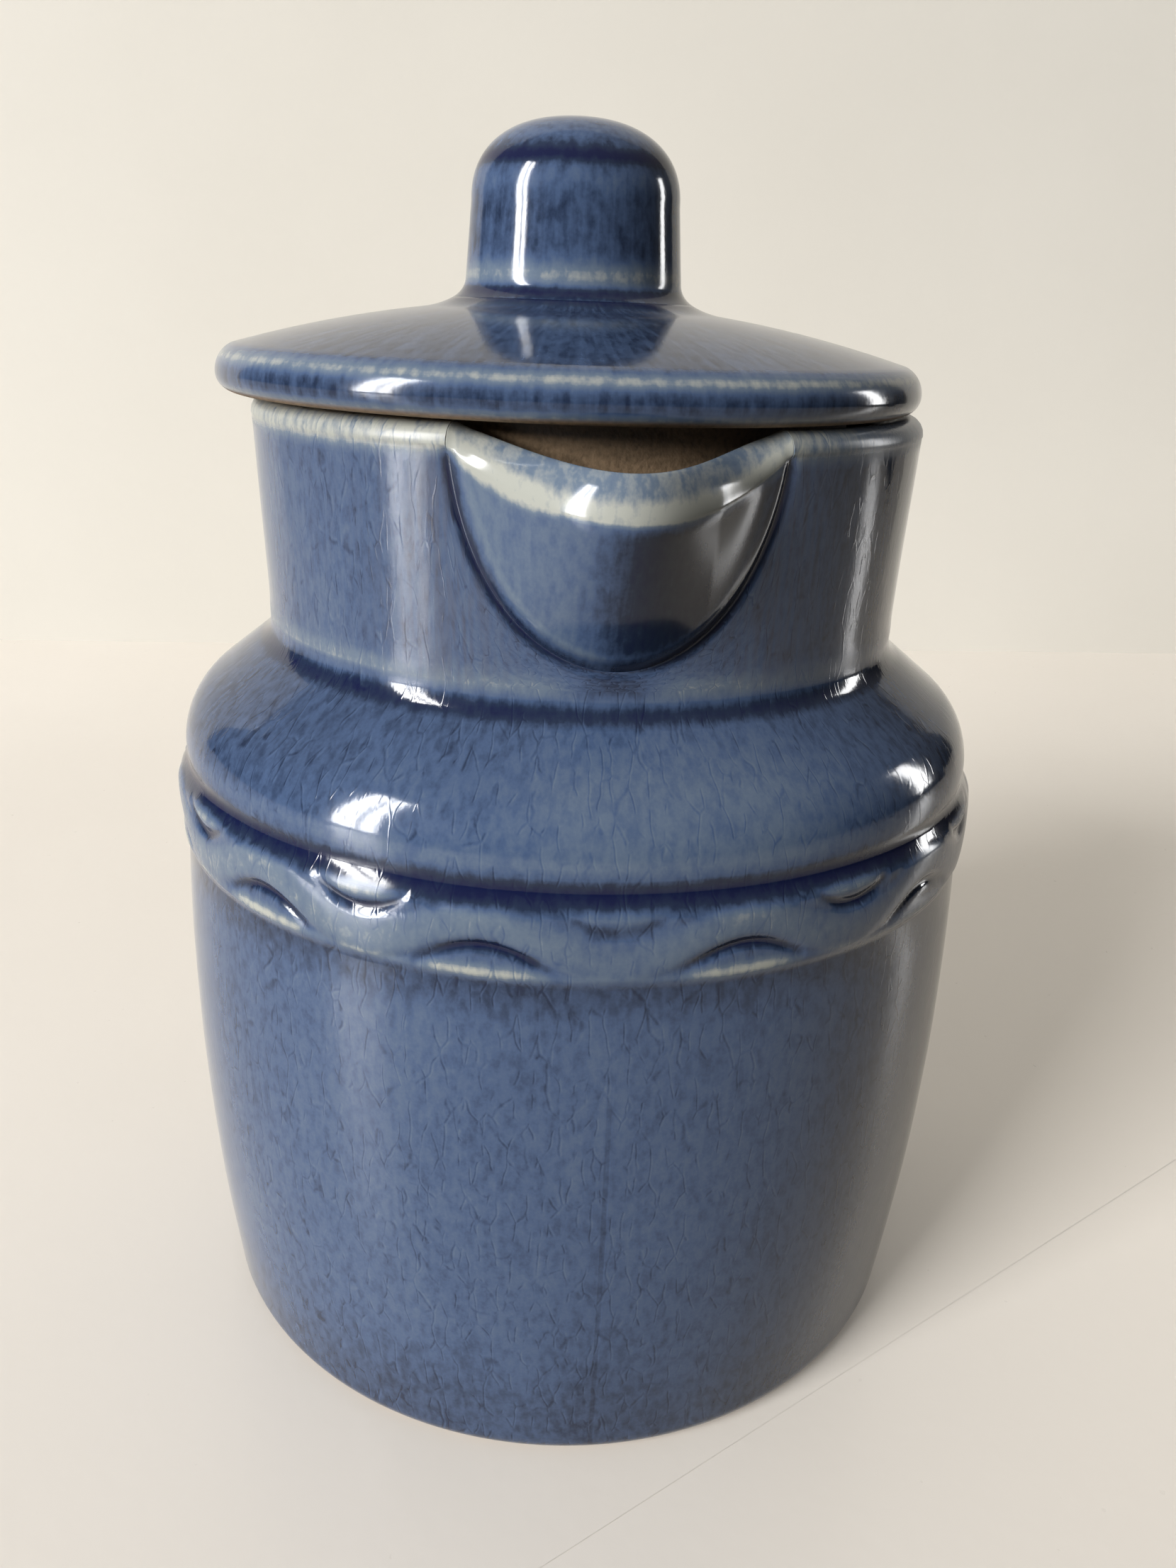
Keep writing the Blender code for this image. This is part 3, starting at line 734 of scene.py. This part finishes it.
class CROCK_OT_lip(Operator):
    """Loft the pouring lip into the notch of the neck"""

    bl_idname = "crock.lip"
    bl_label = "Pouring lip"

    def execute(self, context):
        scene = context.scene
        shape = PotShape(scene.crock_pot, scene.crock_lip)
        end = math.asin(math.sqrt(1.0 - (shape.nose / shape.lip_drop) ** 2))
        shares = np.sin(np.linspace(-end, end, LIP_COLUMNS))
        loops = [lip_loop(shape, share) for share in shares]
        places = np.array([np.vstack((loop[0], loop[0][:1])) for loop in loops])
        values = {name: np.array([np.append(loop[1][name], loop[1][name][0]) for loop in loops])
                  for name in loops[0][1]}
        for column, tuck in ((0, -LIP_TUCK), (-1, LIP_TUCK)):
            places[column] = tucked(shape, places[column], tuck)
        turn = (shares * shape.lip_turn)[:, None]
        steps = np.linalg.norm(np.diff(places, axis=1), axis=-1)
        along = np.concatenate((np.zeros((len(shares), 1)), np.cumsum(steps, axis=1)), axis=1)
        values["wrap"] = on_ring(shape.sizes.belly_radius, turn, along + places[:, :1, 2])
        obj, cells = lip_grid("pouring_beak", *places.shape[:2])
        column, row = cells.T
        settle(obj, places[column, row], {n: v[column, row] for n, v in values.items()})
        close_ends(obj)
        dress(obj, "crock", "pouring_lip",
              glaze("lip glaze", scene.crock_glaze, runs=0.25, ripple=0.5))
        return {"FINISHED"}


def lid_dome(sizes):
    """The dome's height over the seat by radius, and where the rim's rounding starts."""
    edge_r = sizes.radius - sizes.rim_top + sizes.rim_top * math.cos(sizes.rim_turn)
    edge_z = sizes.rim_bottom + sizes.rim_top * math.sin(sizes.rim_turn)
    fall = (sizes.rise - edge_z) / edge_r ** 2
    return (lambda r: sizes.rise - fall * r * r), edge_r


def plate_section(sizes):
    """Half section of the lid plate over its seat, from under the knob over the rim to the hollow."""
    dome, edge_r = lid_dome(sizes)
    section = Section()
    foot, boss_end = sizes.knob_foot, sizes.knob_foot + sizes.boss
    section.add("boss", [(r, sizes.rise) for r in np.linspace(0.0, foot, 4)[:-1]])
    flare = (sizes.knob_foot - sizes.knob_stem) / sizes.knob_toe
    bend = foot + flare * (sizes.rise - dome(foot + sizes.boss / 3))
    section.add("boss", rounding((foot, sizes.rise), (bend, dome(bend)),
                                 (boss_end, dome(boss_end)), 9))
    section.add("dome", [(r, dome(r)) for r in np.linspace(boss_end, edge_r, 30)[1:-1]])
    section.add("rim", arc((sizes.radius - sizes.rim_top, sizes.rim_bottom), sizes.rim_top,
                           sizes.rim_turn, 0.0, 14))
    section.add("rim", arc((sizes.radius - sizes.rim_bottom, sizes.rim_bottom), sizes.rim_bottom,
                           0.0, -math.pi / 2, 10)[1:])
    inner_r = FLANGE_INNER
    section.add("seat", [(r, 0.0) for r in np.linspace(sizes.radius - sizes.rim_bottom, inner_r,
                                                       8)[1:]])
    slope = 1.5 * MM
    section.add("hollow", [(r, dome(r) - sizes.wall) for r in np.linspace(inner_r - slope, 0.0, 14)])
    return section


def knob_section(sizes):
    """Half section of the knob over its foot, from the middle of its crown to the flat foot."""
    section = Section()
    height = KNOB_TOP_Z - KNOB_FOOT_Z
    stem_top = height - sizes.knob_crown
    section.add("crown", [(sizes.knob_shoulder * math.sin(a) ** CROWN_FULLNESS,
                           stem_top + sizes.knob_crown * max(0.0, math.cos(a)) ** CROWN_FULLNESS)
                          for a in np.linspace(0.0, math.pi / 2, 40)])
    fillet = sizes.knob_fillet
    stem = np.linspace(stem_top, fillet, 16)[1:-1]
    spread = sizes.knob_stem - sizes.knob_shoulder
    section.add("stem", [(sizes.knob_shoulder + spread * (stem_top - z) / (stem_top - fillet), z)
                         for z in stem])
    section.add("stem", rounding((sizes.knob_stem, fillet), (sizes.knob_stem, sizes.knob_toe),
                                 (sizes.knob_foot, 0.0), 9))
    section.add("foot", [(sizes.knob_foot / 2, 0.0), (0.0, 0.0)])
    return section


def flange_section():
    """Section of the locating ring, closed on itself."""
    top, low = SEAT_Z, FLANGE_LOW.z
    outer = (FLANGE_HIGH.x - FLANGE_LOW.x) / 2
    soft = 1.2 * MM
    section = Section()
    section.add("ring", [(outer, z) for z in np.linspace(top, low + soft, 8)])
    section.add("ring", arc((outer - soft, low + soft), soft, 0.0, -math.pi / 2, 7)[1:])
    section.add("ring", arc((FLANGE_INNER + soft, low + soft), soft, -math.pi / 2, -math.pi, 7))
    section.add("ring", [(FLANGE_INNER, z) for z in np.linspace(low + soft, top, 8)[1:]])
    return section


def lid_values(columns, **rows):
    """Glaze values by column and row from values by row."""
    return {name: np.repeat(np.asarray(row, float)[None, :], columns, axis=0)
            for name, row in rows.items()}


def lid_turns(columns):
    """Evenly spaced turns of a lid piece's columns, as a column of values."""
    return (np.arange(columns) / columns * 2 * math.pi - math.pi)[:, None]


class CROCK_OT_lid(Operator):
    """Turn the lid plate and the locating ring under it"""

    bl_idname = "crock.lid"
    bl_label = "Lid plate and ring"

    def execute(self, context):
        scene = context.scene
        self.plate(scene.crock_lid, scene.crock_glaze)
        self.ring(scene.crock_glaze)
        return {"FINISHED"}

    def plate(self, sizes, colours):
        """The dome, glazed above and bare on its seat."""
        section = plate_section(sizes)
        obj, rows = turned("lid_dome", section, LID_COLUMNS)
        r, z = np.array(section.points).T
        turn = lid_turns(LID_COLUMNS)
        rim = section.rows("rim")
        pooled = np.where(section.rows("boss") | section.rows("dome"),
                          0.6 * bell(r, sizes.knob_foot + 0.2 * MM, 1.2 * MM), 0.0)
        thin = np.where(rim, 0.95 * bell(z, sizes.rim_bottom + 2.2 * MM, 0.8 * MM), 0.0)
        thin = thin + np.where(rim, 0.8 * bell(z, 0.7 * MM, 0.5 * MM), 0.0)
        bare = np.where(section.rows("seat"), 1.0, np.where(rim, ease(-z, -0.7 * MM, -0.3 * MM), 0.0))
        inner = section.rows("hollow")
        values = lid_values(LID_COLUMNS, pooled=pooled, thin=thin, warm=0.0 * z, bare=bare, inner=inner)
        values["wrap"] = wrapped(section, turn, sizes.radius)
        places = on_ring(r[None, :], turn, SEAT_Z + z[None, :]) + (LID_CENTRE_X, 0.0, 0.0)
        settle(obj, places[:, rows], {n: v[:, rows] for n, v in values.items()})
        dress(obj, "lid", "lid_plate",
              glaze("lid glaze", colours, depth=0.65, runs=0.36, rough=0.10))

    def ring(self, colours):
        """The locating ring of bare clay."""
        section = flange_section()
        obj, rows = turned("lid_ring", section, LID_COLUMNS)
        r, z = np.array(section.points).T
        places = on_ring(r[None, :], lid_turns(LID_COLUMNS), z[None, :]) + (LID_CENTRE_X, 0.0, 0.0)
        settle(obj, places[:, rows], {})
        bridge_rims(obj, SEAT_Z)
        dress(obj, "lid", "lid_flange", bare_clay("ring clay", colours))


def bridge_rims(obj, height):
    """Join the two open edges of a ring at a height by a flat band of faces."""
    open_for_edit(obj)
    bpy.ops.mesh.select_mode(type="EDGE")
    bpy.ops.mesh.select_all(action="DESELECT")
    bpy.ops.object.mode_set(mode="OBJECT")
    points = obj.data.vertices
    for edge in obj.data.edges:
        edge.select = all(abs(points[i].co.z - height) < MERGE for i in edge.vertices)
    bpy.ops.object.mode_set(mode="EDIT")
    bpy.ops.mesh.bridge_edge_loops()
    bpy.ops.mesh.select_all(action="SELECT")
    bpy.ops.mesh.normals_make_consistent(inside=False)
    bpy.ops.mesh.select_mode(type="VERT")
    bpy.ops.object.mode_set(mode="OBJECT")
    bpy.ops.object.shade_smooth_by_angle(angle=SMOOTH_ANGLE)
    deselect()


class CROCK_OT_knob(Operator):
    """Turn the lid's knob"""

    bl_idname = "crock.knob"
    bl_label = "Knob"

    def execute(self, context):
        scene = context.scene
        sizes = scene.crock_lid
        section = knob_section(sizes)
        obj, rows = turned("knob", section, KNOB_COLUMNS)
        r, z = np.array(section.points).T
        foot_z = SEAT_Z + sizes.rise
        lift = KNOB_FOOT_Z - foot_z
        z = np.where(z > sizes.knob_fillet, z + lift, z * (1.0 + lift / sizes.knob_fillet))
        turn = lid_turns(KNOB_COLUMNS)
        ring_z = KNOB_TOP_Z - foot_z - 5.0 * MM
        pooled = 0.8 * bell(z, 0.8 * MM, 0.7 * MM) + 0.8 * bell(z, ring_z, 0.75 * MM)
        thin = (0.80 * bell(z, 2.7 * MM, 1.5 * MM) + 0.25 * bell(z, ring_z - 2.6 * MM, 1.6 * MM)
                + 0.25 * ease(z, ring_z + 1.0 * MM, ring_z + 2.5 * MM))
        values = lid_values(KNOB_COLUMNS, pooled=pooled, thin=thin, warm=0.0 * z, bare=0.0 * z,
                            inner=0.0 * z)
        places = on_ring(r[None, :], turn, foot_z + z[None, :])
        values["wrap"] = places.copy()
        places = places + (LID_CENTRE_X, 0.0, 0.0)
        settle(obj, places[:, rows], {n: v[:, rows] for n, v in values.items()})
        dress(obj, "lid", "lid_knob",
              glaze("knob glaze", scene.crock_glaze, depth=0.63, runs=0.36, rough=0.07))
        return {"FINISHED"}


class Value:
    """A shader socket that takes part in Python arithmetic."""

    def __init__(self, finish, socket):
        self.finish = finish
        self.socket = socket

    def sum(self, operation, first, second):
        """The result of one arithmetic node."""
        return self.finish.node("ShaderNodeMath", {"operation": operation}, {0: first, 1: second})

    def __add__(self, other):
        return self.sum("ADD", self, other)

    def __sub__(self, other):
        return self.sum("SUBTRACT", self, other)

    def __rsub__(self, other):
        return self.sum("SUBTRACT", other, self)

    def __mul__(self, other):
        return self.sum("MULTIPLY", self, other)

    __radd__ = __add__
    __rmul__ = __mul__


class Finish:
    """A node material that is built up value by value."""

    def __init__(self, name):
        self.material = bpy.data.materials.new(name)
        self.material.use_nodes = True
        self.tree = self.material.node_tree
        self.shader = self.tree.nodes["Principled BSDF"]

    def node(self, kind, settings, inputs, output=0):
        """Add a node: its settings first, then the values or links of its sockets."""
        node = self.tree.nodes.new(kind)
        for name, setting in settings.items():
            if name == "stops":
                self.set_stops(node.color_ramp, setting)
            else:
                setattr(node, name, setting)
        for name, value in inputs.items():
            self.feed(node.inputs[name], value)
        return Value(self, node.outputs[output])

    def feed(self, socket, value):
        """Link a value to a socket, or set a number or colour on it."""
        if isinstance(value, Value):
            self.tree.links.new(value.socket, socket)
        else:
            socket.default_value = value

    def set_stops(self, ramp, stops):
        """Give a colour ramp its (place, colour) stops."""
        while len(ramp.elements) < len(stops):
            ramp.elements.new(1.0)
        for element, (place, shade) in zip(ramp.elements, stops):
            element.position = place
            element.color = (*shade, 1.0)

    def noise(self, vector, scale, detail=2.0, roughness=0.5):
        """A soft random value about a half."""
        return self.node("ShaderNodeTexNoise", {}, {"Vector": vector, "Scale": scale,
                                                    "Detail": detail, "Roughness": roughness})

    def between(self, value, low, high, start=0.0, end=1.0):
        """A smooth step of a value from start at low to end at high."""
        return self.node("ShaderNodeMapRange", {"interpolation_type": "SMOOTHSTEP"},
                         {"Value": value, "From Min": low, "From Max": high, "To Min": start,
                          "To Max": end})

    def blend(self, share, first, second):
        """A mix of two colours."""
        return self.node("ShaderNodeMix", {"data_type": "RGBA"},
                         {"Factor": share, 6: first, 7: second}, 2)

    def stretched(self, vector, sizes):
        """A coordinate scaled along its axes."""
        return self.node("ShaderNodeVectorMath", {"operation": "MULTIPLY"}, {0: vector, 1: sizes})

    def attribute(self, name, output="Fac"):
        """A value that is kept on the mesh's points."""
        return self.node("ShaderNodeAttribute", {"attribute_name": name}, {}, output)

    def place(self):
        """Coordinates of the object."""
        return self.node("ShaderNodeTexCoord", {}, {}, "Object")

    def close(self, base, roughness, height, depth):
        """Feed the shader and return the material."""
        normal = self.node("ShaderNodeBump", {}, {"Strength": 1.0, "Distance": depth,
                                                  "Height": height})
        self.feed(self.shader.inputs["Base Color"], base)
        self.feed(self.shader.inputs["Roughness"], roughness)
        self.feed(self.shader.inputs["Normal"], normal)
        return self.material


def clay_colour(finish, colours):
    """Fired clay: fine grains of light and dark."""
    place = finish.place()
    grain = finish.noise(place, 1800.0, 3.0)
    patch = finish.noise(place, 140.0)
    dark = [0.55 * c for c in colours.clay]
    light = [min(1.0, 1.35 * c) for c in colours.clay]
    shade = 0.6 * grain + 0.4 * patch
    return finish.node("ShaderNodeValToRGB", {"stops": [(0.30, dark), (0.50, colours.clay),
                                                        (0.70, light)]}, {"Fac": shade}), grain


def bare_clay(name, colours):
    """Unglazed fired clay."""
    finish = Finish(name)
    base, grain = clay_colour(finish, colours)
    return finish.close(base, 0.65 + 0.25 * grain, grain, CLAY_RELIEF)


def glaze(name, colours, depth=0.50, runs=0.1, ripple=1.0, rough=0.06, satin=0.06, craze=0.0,
          seam=False):
    """Blue glaze that thins over swellings and pools in creases.

    depth is its usual thickness, runs the strength of its upright streaks, ripple the unevenness
    of its surface, rough its roughness and satin what thin glaze adds to that. craze is the height
    of its fine upright ridges and how much their lines darken, with a painted highlight beside
    each line, and seam says whether the mould's seam shows down the front.
    """
    finish = Finish(name)
    wrap = finish.attribute("wrap", "Vector")
    pooled = finish.attribute("pooled")
    thin = finish.attribute("thin")
    warm = finish.attribute("warm")
    bare = finish.attribute("bare")
    inner = finish.attribute("inner")

    speck = finish.noise(wrap, 2400.0)
    mottle = finish.noise(finish.stretched(wrap, (1.0, 1.0, 0.6)), 850.0, 3.0)
    streak = finish.noise(finish.stretched(wrap, (1.0, 1.0, 0.10)), 1100.0, 3.0)
    cloud = finish.noise(finish.stretched(wrap, (1.0, 1.0, 0.5)), 60.0)
    blotch = finish.between(mottle, 0.34, 0.74)
    uneven = (0.12 * (speck - 0.5) + 0.13 * (blotch - 0.45) + (runs + warm) * (streak - 0.5)
              + 0.22 * (cloud - 0.5))
    # pooled and thin carry painted shade and painted light on the pot and the lip, besides the glaze's
    # thickness
    thick = depth + uneven + 0.48 * pooled - 0.56 * (thin * (0.6 + 0.8 * streak))
    height = ripple * (0.04 * speck + 0.09 * mottle + 0.05 * streak)
    if craze:
        lines = crazing(finish, wrap) * (1.0 - inner)
        # painted highlight: a lighter copy of each crack line, shifted to one side, as on the lit side
        # of a ridge
        painted_ridge_light = crazing(finish, finish.node("ShaderNodeVectorMath", {"operation": "ADD"},
                                          {0: wrap, 1: (-0.0002, 0.0, 0.0)})) * (1.0 - inner)
        thick = thick + craze * (lines - 0.6 * painted_ridge_light)
        height = height + 0.6 * craze * lines
    if seam:
        line = seam_line(finish)
        thick = thick + 0.08 * line
        height = height - 0.3 * line
    stops = [(0.0, colours.thin), (0.22, colours.pale), (0.50, colours.middle),
             (0.74, colours.deep), (0.96, colours.pooled)]
    blue = finish.node("ShaderNodeValToRGB", {"stops": stops}, {"Fac": thick})
    blue = finish.blend(warm * finish.between(streak, 0.38, 0.62, 0.3, 1.3), blue, (*colours.warm, 1.0))

    brown = finish.node("ShaderNodeValToRGB",
                        {"stops": [(0.3, [0.4 * c for c in colours.inside]),
                                   (0.6, colours.inside), (0.8, [1.8 * c for c in colours.inside])]},
                        {"Fac": finish.noise(finish.place(), 260.0, 4.0)})
    clay, grain = clay_colour(finish, colours)
    base = finish.blend(inner, blue, brown)
    base = finish.blend(bare, base, clay)
    finish.feed(finish.shader.inputs["Specular IOR Level"], 0.32)
    roughness = rough + 0.05 * speck + satin * thin + 0.6 * bare
    return finish.close(base, roughness, height + 0.8 * (bare * grain), GLAZE_RELIEF)


def crazing(finish, wrap):
    """Short, fine, upright ridges: the borders of tall cells, broken here and there."""
    sway = finish.node("ShaderNodeTexNoise", {}, {"Vector": wrap, "Scale": 260.0, "Detail": 1.0},
                       "Color")
    cells = finish.node("ShaderNodeVectorMath", {"operation": "ADD"},
                        {0: finish.stretched(wrap, (1.0, 1.0, 0.30)),
                         1: finish.stretched(sway, (0.0012, 0.0012, 0.0012))})
    web = finish.node("ShaderNodeTexVoronoi", {"feature": "DISTANCE_TO_EDGE"},
                      {"Vector": cells, "Scale": 520.0}, "Distance")
    breaks = finish.noise(finish.stretched(wrap, (1.0, 1.0, 0.7)), 480.0, 1.0)
    return finish.between(web, 0.0, 0.07, 1.0, 0.0) * finish.between(breaks, 0.44, 0.55)


def seam_line(finish):
    """One down the middle of the front below the band, where the mould's halves met."""
    place = finish.place()
    x, y, z = (finish.node("ShaderNodeSeparateXYZ", {}, {"Vector": place}, axis) for axis in "XYZ")
    middle = finish.between(x * x, 0.0, SEAM_HALF ** 2, 1.0, 0.0)
    front = finish.between(y, -20.0 * MM, 0.0, 1.0, 0.0)
    return middle * front * finish.between(z, *SEAM_FADE, 1.0, 0.0)


def plain_paint(name, light, dark, glow, roughness):
    """Pale paint with a slight unevenness, lifted by a soft glow."""
    finish = Finish(name)
    place = finish.place()
    patch = finish.noise(place, 6.0, 3.0)
    grain = finish.noise(place, 420.0, 2.0)
    base = finish.node("ShaderNodeValToRGB", {"stops": [(0.35, dark), (0.65, light)]}, {"Fac": patch})
    finish.feed(finish.shader.inputs["Emission Color"], base)
    finish.feed(finish.shader.inputs["Emission Strength"], glow)
    return finish.close(base, roughness + 0.1 * (grain - 0.5), grain, 0.00003)


class CROCK_OT_stage(Operator):
    """Set a pale floor and backdrop, soft light and the camera"""

    bl_idname = "crock.stage"
    bl_label = "Stage"

    def execute(self, context):
        setup = context.scene.crock_stage
        self.ground(setup)
        self.lights(context.scene, setup)
        self.camera(context.scene, setup)
        return {"FINISHED"}

    def ground(self, setup):
        """A table top, a wall behind it, and an apron that carries the floor on but lights nothing."""
        floor = plain_paint("floor paint", (0.70, 0.655, 0.595), (0.67, 0.625, 0.565), 0.13, 0.30)
        paint = plain_paint("wall paint", (0.52, 0.495, 0.445), (0.50, 0.475, 0.425), 0.25, 0.8)
        back = setup.wall_distance
        table = add_plane("stage_floor", FLOOR_SIZE, TABLE_CENTRE, (0.0, 0.0, TABLE_SLANT), floor)
        apron = add_plane("stage_apron", FLOOR_SIZE, (0.0, back - FLOOR_SIZE / 2, -APRON_DROP),
                          (0.0, 0.0, 0.0), floor)
        wall = add_plane("stage_wall", WALL_SIZE, (0.0, back, WALL_SIZE / 2),
                         (math.pi / 2, 0.0, 0.0), paint)
        apron.visible_diffuse = False

    def lights(self, scene, setup):
        """A large soft panel at the left, panes that show only as gloss, and soft light all round."""
        soft = add_panel("daylight", -52.0, 4.0, 1.9, (1.8, 2.1), 1.2 * setup.daylight)
        soft.visible_glossy = False
        panes = (add_pane("left pane", -68.0, 0.25, setup.window),
                 add_pane("right pane", -61.0, 0.17, setup.window),
                 add_panel("far strip", 104.0, 1.2, 0.34, (0.14, 0.52), 0.35 * setup.window))
        for pane in panes:
            pane.visible_diffuse = False
        world = bpy.data.worlds.new("stage light")
        world.use_nodes = True
        tree = world.node_tree
        place = tree.nodes.new("ShaderNodeTexCoord")
        part = tree.nodes.new("ShaderNodeSeparateXYZ")
        shade = tree.nodes.new("ShaderNodeValToRGB")
        tree.links.new(place.outputs["Generated"], part.inputs["Vector"])
        tree.links.new(part.outputs["Z"], shade.inputs["Fac"])
        tree.links.new(shade.outputs["Color"], tree.nodes["Background"].inputs["Color"])
        for element, level in zip(shade.color_ramp.elements, (0.02, 0.40)):
            element.color = (level, 0.96 * level, 0.90 * level, 1.0)
        tree.nodes["Background"].inputs["Strength"].default_value = setup.fill
        scene.world = world
        scene.view_settings.view_transform = "Standard"

    def camera(self, scene, setup):
        """A camera at the photograph's angle."""
        data = bpy.data.cameras.new("camera")
        data.lens = setup.focal_length
        data.sensor_width = 36.0
        data.clip_start = 0.01
        camera = bpy.data.objects.new("camera", data)
        scene.collection.objects.link(camera)
        orbit = Matrix.Rotation(setup.camera_turn, 4, "Z")
        stand = Matrix.Translation((0.0, -setup.camera_distance, setup.camera_height))
        look = (Matrix.Rotation(-setup.camera_yaw, 4, "Z")
                @ Matrix.Rotation(math.pi / 2 - setup.camera_pitch, 4, "X")
                @ Matrix.Rotation(setup.camera_roll, 4, "Z"))
        camera.matrix_world = orbit @ stand @ look
        scene.camera = camera


def add_plane(name, size, place, rotation, paint):
    """A flat square of the stage."""
    deselect()
    bpy.ops.mesh.primitive_plane_add(size=size, location=place, rotation=rotation)
    plane = bpy.context.object
    plane.name = name
    plane.data.materials.append(paint)
    deselect()
    return plane


def add_pane(name, turn, width, brightness):
    """One of the two tall panes of the window."""
    return add_panel(name, turn, PANE_DISTANCE, PANE_CENTRE, (width, PANE_TALL), brightness)


def add_panel(name, turn, distance, height, size, brightness):
    """An upright rectangular light at a turn from the lip's side, in degrees, that faces the pot."""
    data = bpy.data.lights.new(name, "AREA")
    data.shape = "RECTANGLE"
    data.size, data.size_y = size
    data.energy = brightness * math.pi * size[0] * size[1]
    panel = bpy.data.objects.new(name, data)
    bpy.context.scene.collection.objects.link(panel)
    side = math.radians(turn)
    panel.location = (distance * math.sin(side), -distance * math.cos(side), height)
    panel.rotation_euler = (math.pi / 2, 0.0, side)
    return panel


class CROCK_PT_panel(Panel):
    """Sizes, colours and steps of the crock"""

    bl_idname = "CROCK_PT_panel"
    bl_label = "Pouring crock"
    bl_space_type = "VIEW_3D"
    bl_region_type = "UI"
    bl_category = "Crock"

    def draw(self, context):
        for step in STEPS:
            self.layout.operator(step.bl_idname)
        for name in GROUPS:
            group = getattr(context.scene, name)
            box = self.layout.box()
            box.label(text=group.__doc__ or name)
            for key in group.__annotations__:
                box.prop(group, key)


GROUPS = {"crock_pot": PotSizes, "crock_lip": LipSizes, "crock_lid": LidSizes,
          "crock_glaze": GlazeColours, "crock_stage": StageSetup}
STEPS = (CROCK_OT_pot, CROCK_OT_lip, CROCK_OT_lid, CROCK_OT_knob, CROCK_OT_stage)


def register():
    """Add the classes and the scene's settings."""
    for cls in (*GROUPS.values(), *STEPS, CROCK_PT_panel):
        bpy.utils.register_class(cls)
    for name, group in GROUPS.items():
        setattr(bpy.types.Scene, name, PointerProperty(type=group))


def unregister():
    """Take the settings and the classes away again."""
    for name in GROUPS:
        delattr(bpy.types.Scene, name)
    for cls in (CROCK_PT_panel, *reversed(STEPS), *reversed(GROUPS.values())):
        bpy.utils.unregister_class(cls)


def main():
    """Build every piece and the stage."""
    register()
    bpy.ops.crock.pot()
    bpy.ops.crock.lip()
    bpy.ops.crock.lid()
    bpy.ops.crock.knob()
    bpy.ops.crock.stage()


if __name__ == "__main__":
    main()
